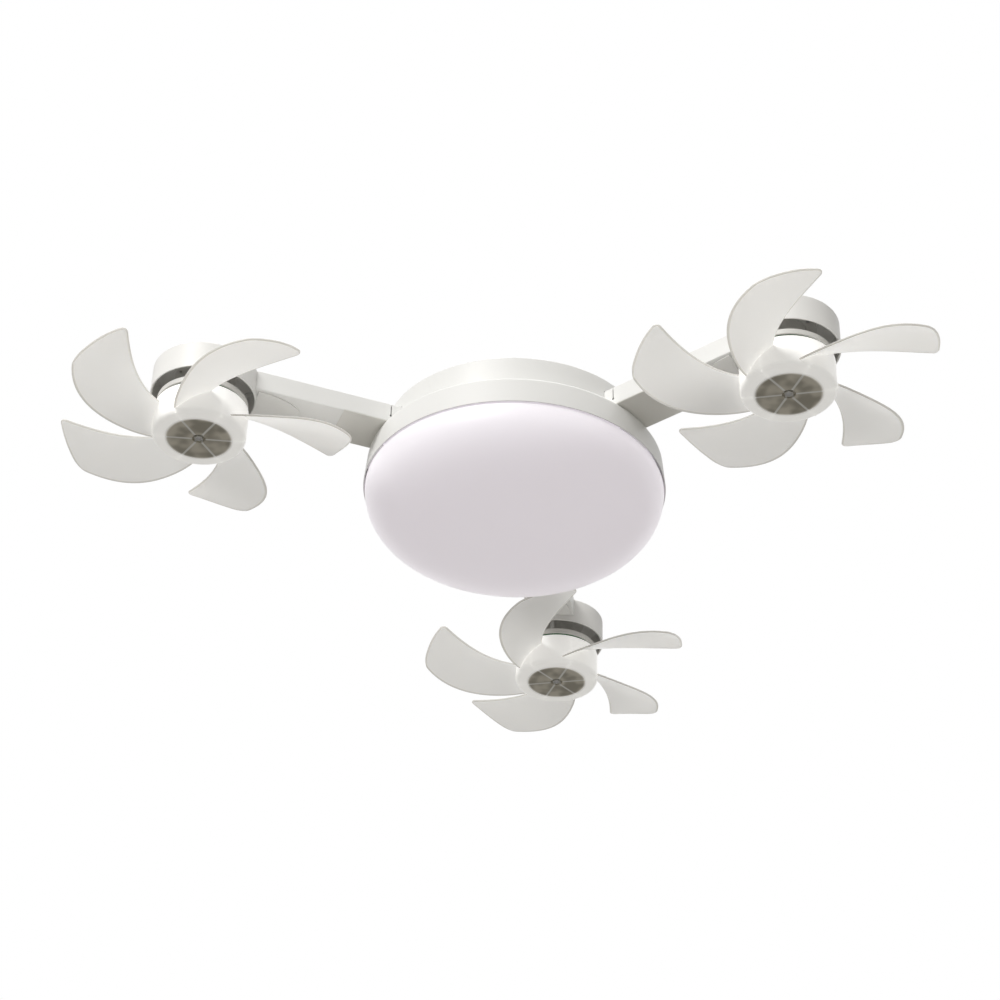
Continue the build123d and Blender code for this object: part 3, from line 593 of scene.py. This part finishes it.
# %% Motor bases
BASE_R = 44.0
BASE_TOP = -51.5
BASE_Z = -57.5
BASE_WALL = 2.0
COLUMN_R = 20.0
COLUMN_WALL = 2.5
FLANGE_R = 30.0
FLANGE_T = 3.0
ROOF_Z = -17.5
TUBE_R = 9.52
TUBE_Z = -83.0
LAND_R = 5.5
SEAT_R = 7.52
SEAT_DEEP = 6.0
BEARING_W = 5.0
BASE_EDGE = 0.3
BASE_ROUND = 1.2
COLUMN_ROUND = 0.8
FLANGE_EDGE = 0.4
column_bore = COLUMN_R - COLUMN_WALL
base_profile = outline([
    (BASE_R, BASE_Z, BASE_EDGE), (BASE_R, BASE_TOP, BASE_ROUND), (COLUMN_R, BASE_TOP, COLUMN_ROUND),
    (COLUMN_R, ROOF_Z - FLANGE_T, 0), (FLANGE_R, ROOF_Z - FLANGE_T, FLANGE_EDGE), (FLANGE_R, ROOF_Z, 0),
    (column_bore, ROOF_Z, 0), (column_bore, BASE_TOP, 0), (SEAT_R, BASE_TOP, 0),
    (SEAT_R, BASE_TOP - SEAT_DEEP, 0), (LAND_R, BASE_TOP - SEAT_DEEP, 0),
    (LAND_R, TUBE_Z + BEARING_W, 0), (SEAT_R, TUBE_Z + BEARING_W, 0), (SEAT_R, TUBE_Z, 0),
    (TUBE_R, TUBE_Z, 0), (TUBE_R, BASE_TOP - BASE_WALL, FLANGE_EDGE),
    (BASE_R - BASE_WALL, BASE_TOP - BASE_WALL, FLANGE_EDGE), (BASE_R - BASE_WALL, BASE_Z, BASE_EDGE),
])
for number, angle in enumerate(ARM_ANGLES, start=1):
    piece(
        f"base_lid_{number}", [lathe(base_profile, CUP_STEPS)], "root", "base_plastic",
        [f"motor_base_{number}"], place=lambda shape: at_head(shape, angle),
    )

# %% [markdown]
# ## The fan wheels
#
# A wheel is one moulding of frosted plastic: a drum-shaped hub over the motor, and five twisted
# blades. A blade is a sheet between two edge curves. Along each curve the radius grows evenly, while
# the angle and the drop follow a straight change plus a bow. The point (s, t) lies a share s out
# along both curves, a share t from the hollow edge to the full one, lifted by a parabola in t.
# The sheet ends on a curve that bulges and has elliptical corners, and its thickness goes to zero at
# its border as a quarter ellipse, which rounds the edges.

# %% Blade sheet
TIP_R = 139.4
TIP_DROP = 0.8
HOLLOW_ROOT_ANGLE = -31.5
HOLLOW_BOW = 13.7
HOLLOW_ROOT_DROP = 9.1
HOLLOW_SAG = 12.8
HEEL_R = 146.5
HEEL_ANGLE = -24.2
HEEL_DROP = 18.1
FULL_ROOT_ANGLE = -74.2
FULL_WAVE = 29.3
FULL_ROOT_DROP = 28.4
FULL_SAG = 24.0
CAMBER = 2.5
BLADE_T = 2.0
BLADES = 5
HUB_WALL = 2.4
TIP_CORNER = (0.13, 0.075)
HEEL_CORNER = (0.15, 0.035)
BULGE = 0.030
EDGE_STEPS = (0.0, 0.12, 0.45, 1.0, 2.2)
ACROSS = 46.0
ALONG = 104.0
CUT_STEPS = 7
ROWS_ACROSS = (0.1, 0.9, 13)
ROWS_ALONG = (0.06, 0.94, 26)
ROOT_TRIALS = (-0.1, 0.25, 200)


def edge_curve(s, end_r, root, tip, bow, root_drop, tip_drop, sag):
    """One edge of a blade in space: radius, angle and drop as shares s of the way out."""
    radius = HUB_R + (end_r - HUB_R) * s
    angle = np.radians(root * (1 - s) + tip * s + bow)
    drop = root_drop * (1 - s) + tip_drop * s + sag * s * (1 - s)
    return np.stack((radius * np.cos(angle), radius * np.sin(angle), HUB_TOP - drop), -1)


def sheet_point(s, t):
    """Middle surface of the blade."""
    hollow = edge_curve(
        s, TIP_R, HOLLOW_ROOT_ANGLE, 0.0, HOLLOW_BOW * s * (1 - s),
        HOLLOW_ROOT_DROP, TIP_DROP, HOLLOW_SAG,
    )
    full = edge_curve(
        s, HEEL_R, FULL_ROOT_ANGLE, HEEL_ANGLE, FULL_WAVE * s * (1 - s) * (1 - 2 * s),
        FULL_ROOT_DROP, HEEL_DROP, FULL_SAG,
    )
    point = hollow + (full - hollow) * t[..., None]
    point[..., 2] += 4 * CAMBER * t * (1 - t)
    return point


def corner_cut(near, size):
    """How far a corner's quarter ellipse draws back the end, at this share from the corner."""
    across, along = size
    rest = 1 - np.clip(near / across, 0, 1)
    return along * (1 - np.sqrt(1 - rest ** 2))


def blade():
    """One blade as a closed sheet, and how far in from the border each of its points is, in mm."""
    steps = np.array(EDGE_STEPS)
    quarter = 1 - np.cos(np.linspace(0, np.pi / 2, CUT_STEPS))
    t = np.unique(np.round(np.concatenate((
        steps / ACROSS, TIP_CORNER[0] * quarter, np.linspace(*ROWS_ACROSS),
        1 - HEEL_CORNER[0] * quarter, 1 - steps / ACROSS,
    )), 5))
    v = np.concatenate((steps / ALONG, np.linspace(*ROWS_ALONG), 1 - steps[::-1] / ALONG))
    end = 1 + 4 * BULGE * t * (1 - t) - corner_cut(t, TIP_CORNER) - corner_cut(1 - t, HEEL_CORNER)
    trial = np.linspace(*ROOT_TRIALS)
    tried = sheet_point(trial[:, None], np.broadcast_to(t, (len(trial), len(t))))
    reach = np.linalg.norm(tried[..., :2], axis=-1)
    start = np.array([np.interp(HUB_R - HUB_WALL / 2, column, trial) for column in reach.T])
    s = start + (end - start) * v[:, None]
    grid_t = np.broadcast_to(t, s.shape)
    middle = sheet_point(s, grid_t)
    normal = np.cross(np.gradient(middle, axis=0), np.gradient(middle, axis=1))
    normal /= np.linalg.norm(normal, axis=-1, keepdims=True)
    side_gap = np.minimum(grid_t, 1 - grid_t) * ACROSS
    end_gap = np.broadcast_to((np.minimum(v, 1 - v) * ALONG)[:, None], s.shape)
    half = BLADE_T / 2
    for gap in (side_gap, end_gap):
        half = half * np.sqrt(1 - (1 - np.clip(gap / (BLADE_T / 2), 0, 1)) ** 2)
    lift = normal * half[..., None]
    top = grid_quads(*s.shape)
    faces = np.concatenate((top.reshape(-1, 4), top.reshape(-1, 4)[:, ::-1] + s.size))
    points = np.concatenate(((middle + lift).reshape(-1, 3), (middle - lift).reshape(-1, 3)))
    inward = np.concatenate((np.minimum(side_gap, end_gap).ravel(),) * 2)
    whole = closed(points, faces)
    nearest = np.argmin(np.linalg.norm(whole[0][:, None] - points[None], axis=2), axis=1)
    return whole, inward[nearest]


# %% Hub with its ribs
HUB_FLOOR = 1.8
BELL_Z = -88.5
NUT_TOP = -91.2
BOSS_R = 8.0
POCKET_R = 6.5
THREAD_R = 2.52
RIBS = 6
RIB_TURN = 10.8
RIB_T = 1.2
RIB_H = 3.5
RIB_SINK = 0.9
RIB_LAP = 1.0
FIN_DEPTH = 6.5
FIN_TOP = HUB_TOP - 2.5
HUB_ROUND = 5.0
BORE_ROUND = 2.6
HUB_MOUTH = (0.5, 0.8)
BOSS_EDGE = 0.4
POCKET_EDGE = 0.6
FAR_IN = 10.0
hub_bore = HUB_R - HUB_WALL
floor_top = HUB_Z + HUB_FLOOR
hub_profile = outline([
    (THREAD_R, BELL_Z, 0), (BOSS_R, BELL_Z, BOSS_EDGE), (BOSS_R, floor_top, 0),
    (hub_bore, floor_top, BORE_ROUND), (hub_bore, HUB_TOP, HUB_MOUTH[0]), (HUB_R, HUB_TOP, HUB_MOUTH[1]),
    (HUB_R, HUB_Z, HUB_ROUND), (POCKET_R, HUB_Z, POCKET_EDGE), (POCKET_R, NUT_TOP, 0),
    (THREAD_R, NUT_TOP, 0),
], steps=BEND_STEPS)
rib_x = (BOSS_R - RIB_LAP, hub_bore + RIB_LAP)
rib_y = (-RIB_T / 2, RIB_T / 2)
rib_shapes = [
    bar(rib_x, rib_y, (floor_top - RIB_SINK, floor_top + RIB_H)),
    bar((hub_bore - FIN_DEPTH, rib_x[1]), rib_y, (floor_top + RIB_H, FIN_TOP)),
]
wheel_shapes = [lathe(hub_profile)]
for rib in rib_shapes:
    wheel_shapes += copies(rib, RIBS, RIB_TURN)
one_blade, inward = blade()
hub_points = sum(len(points) for points, _ in wheel_shapes)
from_edge = np.concatenate([np.full(hub_points, FAR_IN)] + [inward] * BLADES)
wheel_shapes += copies(one_blade, BLADES)
for number, (angle, tip_angle) in enumerate(zip(ARM_ANGLES, TIP_ANGLES), start=1):
    piece(
        f"fan_wheel_{number}", wheel_shapes, f"rotor_{number}", "frosted_blade", [f"impeller_{number}"],
        place=lambda shape: at_head(spun(shape, tip_angle - angle), angle),
        values={"from_edge": from_edge},
    )

# %% [markdown]
# ## Nut and shaft
#
# The nut is a turned surface whose radius follows a hexagon: the half width across flats divided by
# the cosine of the angle from the middle of the nearest flat. The thread on the shaft end is a
# zigzag in the profile.

# %% Nut and shaft
NUT_FLAT = 8.0
NUT = (-94.2, -91.2)
SHAFT_R = 3.0
SHAFT_TOP = -52.0
SHAFT_END = -94.4
SHAFT_CHAMFER = 0.3
SHAFT_STEPS = 48
CHAMFER = 0.35
NUT_ROUND = 0.25
TIP_FLAT_R = 2.0
TIP_CONE = 0.4
GROOVE_R = 2.3
CREST_R = 2.5
HALF_PITCH = 0.25
nut_angles = np.arange(0, 360, 5.0)
nut_radius = NUT_FLAT / 2 / np.cos(np.radians(nut_angles % 60 - 30))
cone = np.minimum(nut_radius, NUT_FLAT / 2 + NUT_ROUND)
nut_profiles = np.stack([
    np.array([
        (THREAD_R, NUT[0]), (round_r - CHAMFER / 2, NUT[0]), (hex_r, NUT[0] + CHAMFER),
        (hex_r, NUT[1] - CHAMFER), (round_r - CHAMFER / 2, NUT[1]), (THREAD_R, NUT[1]),
    ])
    for hex_r, round_r in zip(nut_radius, cone)
])
pitch = np.arange(SHAFT_END + TIP_CONE, NUT[0] + 1.0, HALF_PITCH)
thread = np.stack((np.where(np.arange(len(pitch)) % 2, GROOVE_R, CREST_R), pitch), 1)
shaft_profile = np.concatenate(([(0, SHAFT_END), (TIP_FLAT_R, SHAFT_END)], thread, [
    (CREST_R, pitch[-1] + HALF_PITCH), (CREST_R, BELL_Z), (SHAFT_R, BELL_Z),
    (SHAFT_R, SHAFT_TOP - SHAFT_CHAMFER), (SHAFT_R - SHAFT_CHAMFER, SHAFT_TOP), (0, SHAFT_TOP),
]))
for number, angle in enumerate(ARM_ANGLES, start=1):
    piece(
        f"nut_{number}", [lathe(nut_profiles, degrees=nut_angles)], f"rotor_{number}", "zinc_steel",
        [f"hub_nut_{number}"], place=lambda shape: at_head(shape, angle),
    )
    piece(
        f"threaded_shaft_{number}", [lathe(shaft_profile, SHAFT_STEPS)], f"rotor_{number}", "bearing_steel",
        [f"shaft_{number}"], place=lambda shape: at_head(shape, angle),
    )

# %% [markdown]
# ## Finishes
#
# Each finish is a small network of nodes on one shader. A fine noise moves the surface as the grain
# of the powder coat or the frosting does, a broad one moves the colour and the gloss a little, as on
# any real surface. Patterns read Object coordinates, in metres, so their scale is a real one.


# %% Node helpers
def add(material, kind, inputs=None, **settings):
    """A node of this kind. An input is a value or the socket that feeds it."""
    node = material.node_tree.nodes.new("ShaderNode" + kind)
    for key, value in settings.items():
        setattr(node, key, value)
    for key, value in (inputs or {}).items():
        if isinstance(value, bpy.types.NodeSocket):
            material.node_tree.links.new(value, node.inputs[key])
        else:
            node.inputs[key].default_value = value
    return node


def feed(material, source, node, key):
    """Links a socket to an input of a node."""
    material.node_tree.links.new(source, node.inputs[key])


def blank(name, colour, roughness, metallic=0.0, **sockets):
    """A new material, its shader and the object coordinates."""
    material = bpy.data.materials.new(name)
    material.use_nodes = True
    shader = material.node_tree.nodes["Principled BSDF"]
    shader.inputs["Base Color"].default_value = (*colour, 1)
    shader.inputs["Roughness"].default_value = roughness
    shader.inputs["Metallic"].default_value = metallic
    for key, value in sockets.items():
        shader.inputs[key.replace("_", " ")].default_value = value
    place = add(material, "TexCoord").outputs["Object"]
    return material, shader, place


def mix(material, factor, first, second):
    """The socket of a colour between two others."""
    node = add(material, "Mix", {0: factor}, data_type="RGBA")
    for key, value in ((6, first), (7, second)):
        if isinstance(value, bpy.types.NodeSocket):
            feed(material, value, node, key)
        else:
            node.inputs[key].default_value = (*value, 1)
    return node.outputs[2]


def ramp(material, value, low, high, start=0.0, end=1.0, smooth=True):
    """A value mapped from the range low to high onto start to end, and held beyond it."""
    kind = "SMOOTHSTEP" if smooth else "LINEAR"
    node = add(material, "MapRange", {0: value, 1: low, 2: high, 3: start, 4: end}, interpolation_type=kind)
    return node.outputs[0]


def maths(material, operation, a, b=0.0):
    """The result of one sum."""
    return add(material, "Math", {0: a, 1: b}, operation=operation).outputs[0]


def noise(material, place, scale, detail=2.0):
    """A noise with this many features in a metre."""
    return add(material, "TexNoise", {"Vector": place, "Scale": scale, "Detail": detail}).outputs["Fac"]


def grain(material, shader, height, depth, strength=1.0):
    """Moves the surface: height from 0 to 1 times a depth in metres."""
    bump = add(material, "Bump", {"Strength": strength, "Distance": depth, "Height": height})
    feed(material, bump.outputs["Normal"], shader, "Normal")


def surface(name, colour, roughness, fine, depth, metallic=0.0, vary=0.04, broad=35.0, **sockets):
    """A finish with a fine grain, and a broad change in colour and gloss."""
    material, shader, place = blank(name, colour, roughness, metallic, **sockets)
    cloud = noise(material, place, broad, 3.0)
    darker = tuple(channel * (1 - vary) for channel in colour)
    feed(material, mix(material, cloud, darker, colour), shader, "Base Color")
    feed(material, ramp(material, cloud, 0.3, 0.7, roughness - 0.05, roughness + 0.05), shader, "Roughness")
    grain(material, shader, noise(material, place, fine), depth, 0.6)
    return material


# %% Painted and moulded finishes
finishes = {
    "white_paint": surface("satin_powder_coat", (0.86, 0.86, 0.845), 0.42, 1100, 6e-5, vary=0.02),
    "cup_paint": surface("cup_powder_coat", (0.85, 0.845, 0.825), 0.42, 1100, 6e-5, vary=0.02),
    "cover_plastic": surface("matt_cover", (0.80, 0.79, 0.75), 0.55, 1800, 5e-5, vary=0.03),
    "base_plastic": surface("moulded_base", (0.72, 0.71, 0.68), 0.5, 1500, 4e-5, vary=0.03),
    "box_white": surface("box_plastic", (0.80, 0.80, 0.77), 0.5, 1500, 4e-5),
    "terminal_plastic": surface("terminal_plastic", (0.82, 0.81, 0.74), 0.45, 1400, 4e-5),
    "lead_jacket": surface("soft_jacket", (0.72, 0.72, 0.70), 0.6, 900, 5e-5),
    "bell_steel": surface("dark_bell", (0.10, 0.095, 0.085), 0.45, 700, 5e-5, vary=0.2),
    "magnet_dark": surface("bonded_ferrite", (0.035, 0.035, 0.038), 0.7, 2500, 8e-5, vary=0.3),
    "diode_yellow": surface("phosphor", (0.90, 0.72, 0.22), 0.5, 3000, 4e-5, vary=0.12),
}

# %% [markdown]
# ### Metals
#
# Zinc plating has a faint spangle, ground steel has a finer grain, and the core of the stator is a
# stack of thin sheets. The coils show their turns as stripes.

# %% Metals and parts of the motor
BANDS_PER_METRE = 3.1832
finishes["zinc_steel"] = surface(
    "zinc_plating", (0.66, 0.66, 0.64), 0.36, 1600, 3e-5, metallic=1.0, vary=0.15, broad=300,
)
finishes["bearing_steel"] = surface(
    "ground_steel", (0.60, 0.60, 0.61), 0.28, 2600, 2e-5, metallic=1.0, vary=0.1,
)
finishes["bare_aluminium"] = surface("reflector_coat", (0.80, 0.80, 0.80), 0.4, 900, 4e-5, vary=0.03)


def striped(name, colour, second, roughness, metallic, pitch_m, axis, depth):
    """A finish with even stripes along one axis, for laminations and for the turns of a coil. A wave
    texture of scale 1 has about 3.18 bands in a metre, which gives the scale for a pitch."""
    material, shader, place = blank(name, colour, roughness, metallic)
    scale = 1 / (BANDS_PER_METRE * pitch_m)
    bands = add(material, "TexWave", {"Vector": place, "Scale": scale, "Distortion": 0.3},
                wave_type="BANDS", bands_direction=axis).outputs["Fac"]
    cloud = noise(material, place, 220, 2.0)
    stripe = mix(material, bands, second, colour)
    dull = ramp(material, cloud, 0.3, 0.7, 0.0, 0.25)
    feed(material, mix(material, dull, stripe, second), shader, "Base Color")
    grain(material, shader, bands, depth, 0.8)
    return material


finishes["core_steel"] = striped(
    "laminations", (0.34, 0.34, 0.35), (0.16, 0.16, 0.17), 0.45, 1.0, 0.0005, "Z", 6e-5,
)
finishes["copper_wire"] = striped(
    "coil_turns", (0.72, 0.30, 0.11), (0.36, 0.12, 0.04), 0.32, 1.0, 0.0004, "Z", 1e-4,
)

# %% Drive board
BOARD = (0.03, 0.16, 0.07)
TRACK = (0.10, 0.30, 0.12)
board, board_shader, board_place = blank("lacquered_board", BOARD, 0.3)
cell_edge = add(board, "TexVoronoi", {"Vector": board_place, "Scale": 420.0},
                feature="DISTANCE_TO_EDGE").outputs["Distance"]
track = ramp(board, cell_edge, 0.03, 0.09, 1.0, 0.0)
feed(board, mix(board, track, BOARD, TRACK), board_shader, "Base Color")
grain(board, board_shader, track, 3e-5)
finishes["board_green"] = board

# %% [markdown]
# ### The opal shade
#
# Opal acrylic scatters light inside its wall, so it has a milky, even tone with a soft gloss. The
# subsurface part of the shader does that. The colour leans a little to lavender. A faint glow of
# its own stands for the light inside, dimly on.

# %% Opal
OPAL = (0.86, 0.85, 0.89)
OPAL_WARM = (0.84, 0.82, 0.85)
OPAL_COOL = (0.87, 0.865, 0.91)
OPAL_LIGHT = (0.90, 0.84, 0.90)
OPAL_GLOW = 0.32
opal, opal_shader, opal_place = blank("opal_acrylic", OPAL, 0.34)
opal_shader.inputs["Subsurface Weight"].default_value = 0.55
opal_shader.inputs["Subsurface Radius"].default_value = (1.0, 0.95, 0.92)
opal_shader.inputs["Subsurface Scale"].default_value = 0.02
opal_shader.inputs["Emission Color"].default_value = (*OPAL_LIGHT, 1)
opal_shader.inputs["Emission Strength"].default_value = OPAL_GLOW
opal_cloud = noise(opal, opal_place, 9.0, 2.0)
feed(opal, mix(opal, opal_cloud, OPAL_WARM, OPAL_COOL), opal_shader, "Base Color")
feed(opal, ramp(opal, opal_cloud, 0.3, 0.7, 0.30, 0.38), opal_shader, "Roughness")
grain(opal, opal_shader, noise(opal, opal_place, 60.0), 8e-5, 0.3)
finishes["opal_diffuser"] = opal

# %% [markdown]
# ### The frosted wheels
#
# The wheel is frosted and a little see-through. The dark motor shows through the thin floor of the
# hub as a soft round window, crossed by the lighter lines of the ribs, and the ribs also show as
# bright lines on the wall. Real glass-like shading would lose this in other viewers, so the finish
# works it out from the place of each point as drawn about the wheel's own axis. A weak glow stands
# for the light that the plastic passes on. It is stronger on the hub, in the shade of the blades.

# %% Frosted plastic
FROST = (0.93, 0.922, 0.90)
WINDOW = (0.66, 0.62, 0.53)
WINDOW_DEEP = (0.36, 0.335, 0.28)
RIB_GLOW = (0.93, 0.93, 0.91)
RIM_SHADE = (0.40, 0.39, 0.365)
HUB_GLOW = 0.36
BLADE_GLOW = 0.4
HUB_DENSER = 0.85
RIB_LINE = (0.0005, 0.0017)
HUB_END = (0.0452, 0.0458)
WINDOW_END = (0.0290, 0.0335)
BORDER_MM = (0.3, 2.4)
frost, frost_shader, frost_place = blank("frosted_plastic", FROST, 0.38)
frost_shader.inputs["Subsurface Radius"].default_value = (1.0, 0.97, 0.92)
frost_shader.inputs["Subsurface Scale"].default_value = 0.011
frost_shader.inputs["Emission Strength"].default_value = HUB_GLOW
drawn = add(frost, "Attribute", attribute_name="made").outputs["Vector"]
parts_of = add(frost, "SeparateXYZ", {0: drawn}).outputs
flat_place = add(frost, "CombineXYZ", {0: parts_of[0], 1: parts_of[1]}).outputs[0]
out = add(frost, "VectorMath", {0: flat_place}, operation="LENGTH").outputs["Value"]
heading = maths(frost, "ARCTAN2", parts_of[1], parts_of[0])
from_rib = maths(frost, "SUBTRACT", heading, math.radians(RIB_TURN))
rib_angle = maths(frost, "PINGPONG", from_rib, math.pi / RIBS)
rib_gap = maths(frost, "MULTIPLY", rib_angle, out)
near_rib = ramp(frost, rib_gap, *RIB_LINE, 1.0, 0.0)
on_hub = ramp(frost, out, *HUB_END, 1.0, 0.0)
rib_line = maths(frost, "MULTIPLY", near_rib, on_hub)
seen_motor = ramp(frost, out, *WINDOW_END, 1.0, 0.0)
mottle = noise(frost, frost_place, 45.0, 2.0)
body = mix(frost, mottle, tuple(channel * 0.97 for channel in FROST), FROST)
# Painted shade: each blade is darkened towards its border, over the last few millimetres of the sheet.
from_edge_mm = add(frost, "Attribute", attribute_name="from_edge").outputs["Fac"]
border = ramp(frost, from_edge_mm, *BORDER_MM, 0.9, 0.0)
with_edge_shade = mix(frost, border, body, RIM_SHADE)
depths = noise(frost, drawn, 60.0, 1.0)
motor = mix(frost, ramp(frost, depths, 0.35, 0.65), WINDOW_DEEP, WINDOW)
with_window = mix(frost, seen_motor, with_edge_shade, motor)
with_ribs = mix(frost, maths(frost, "MULTIPLY", rib_line, 0.8), with_window, RIB_GLOW)
feed(frost, with_ribs, frost_shader, "Base Color")
denser = maths(frost, "MULTIPLY", on_hub, HUB_DENSER)
feed(frost, maths(frost, "SUBTRACT", 1.0, denser), frost_shader, "Subsurface Weight")
clear_of_motor = maths(frost, "SUBTRACT", 1.0, seen_motor)
passed = maths(frost, "MAXIMUM", on_hub, BLADE_GLOW)
glow = maths(frost, "MULTIPLY", passed, clear_of_motor)
feed(frost, mix(frost, glow, (0.0, 0.0, 0.0), FROST), frost_shader, "Emission Color")
feed(frost, ramp(frost, mottle, 0.3, 0.7, 0.34, 0.42), frost_shader, "Roughness")
grain(frost, frost_shader, noise(frost, frost_place, 2200.0), 3e-5, 0.5)
finishes["frosted_blade"] = frost

# %% Give every piece and node its finish
slot_of = {row["node"]: row["material_slot"] for row in frame["record"]["subparts"]}
for obj in list(bpy.context.scene.objects):
    if obj.type != "MESH":
        continue
    slot = obj.get("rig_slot") or slot_of.get(obj.name)
    if slot is None:
        print("no slot for", obj.name)
        continue
    obj.data.materials.clear()
    obj.data.materials.append(finishes[slot])
print("finishes:", len(finishes))

# %% [markdown]
# ## Floor, background and light
#
# The photograph has a plain white background. The world is white to the camera and to reflections,
# and dimmer as a light, so that the undersides keep their shade. The main light is large and stands
# at the camera's left, a little above the fan. A pale floor far below closes the room.

# %% Floor
FLOOR_Z = -3.1
FLOOR_HALF = 30.0
floor_mesh = bpy.data.meshes.new("floor")
corners = [(x * FLOOR_HALF, y * FLOOR_HALF, FLOOR_Z) for x, y in ((-1, -1), (1, -1), (1, 1), (-1, 1))]
floor_mesh.from_pydata(corners, [], [(0, 1, 2, 3)])
floor = bpy.data.objects.new("floor", floor_mesh)
bpy.context.scene.collection.objects.link(floor)
floor_mesh.materials.append(surface("pale_floor", (0.66, 0.65, 0.63), 0.7, 60, 1e-4, vary=0.02, broad=2.0))

# %% World
bpy.context.scene.view_settings.view_transform = "Standard"
AMBIENT = (0.29, 0.282, 0.265)
world = bpy.data.worlds.new("studio")
bpy.context.scene.world = world
world.use_nodes = True
tree = world.node_tree
dim = tree.nodes["Background"]
dim.inputs["Color"].default_value = (*AMBIENT, 1)
white = tree.nodes.new("ShaderNodeBackground")
white.inputs["Color"].default_value = (1, 1, 1, 1)
rays = tree.nodes.new("ShaderNodeLightPath")
camera_or_gloss = tree.nodes.new("ShaderNodeMath")
camera_or_gloss.operation = "MAXIMUM"
tree.links.new(rays.outputs["Is Camera Ray"], camera_or_gloss.inputs[0])
tree.links.new(rays.outputs["Is Glossy Ray"], camera_or_gloss.inputs[1])
any_direct = tree.nodes.new("ShaderNodeMath")
any_direct.operation = "MAXIMUM"
tree.links.new(camera_or_gloss.outputs[0], any_direct.inputs[0])
tree.links.new(rays.outputs["Is Transmission Ray"], any_direct.inputs[1])
choose = tree.nodes.new("ShaderNodeMixShader")
tree.links.new(any_direct.outputs[0], choose.inputs[0])
tree.links.new(dim.outputs[0], choose.inputs[1])
tree.links.new(white.outputs[0], choose.inputs[2])
tree.links.new(choose.outputs[0], tree.nodes["World Output"].inputs["Surface"])

# %% Lamps
CENTRE = Vector((0.0, 0.0, -0.06))
KEY_WATTS = 75.0
TOP_WATTS = 40.0


def lamp(name, direction, distance, size, watts, colour):
    """A square soft light this far from the fan in this direction, turned towards it."""
    data = bpy.data.lights.new(name, "AREA")
    data.size = size
    data.energy = watts
    data.color = colour
    obj = bpy.data.objects.new(name, data)
    bpy.context.scene.collection.objects.link(obj)
    away = Vector(direction).normalized()
    turned = away.to_track_quat("Z", "Y").to_matrix().to_4x4()
    obj.matrix_world = Matrix.Translation(CENTRE + away * distance) @ turned


lamp("key", (-0.3, -0.85, 0.42), 3.2, 1.5, KEY_WATTS, (1.0, 0.995, 0.985))
lamp("top", (0.1, 0.2, 1.0), 3.0, 2.5, TOP_WATTS, (0.98, 0.99, 1.0))
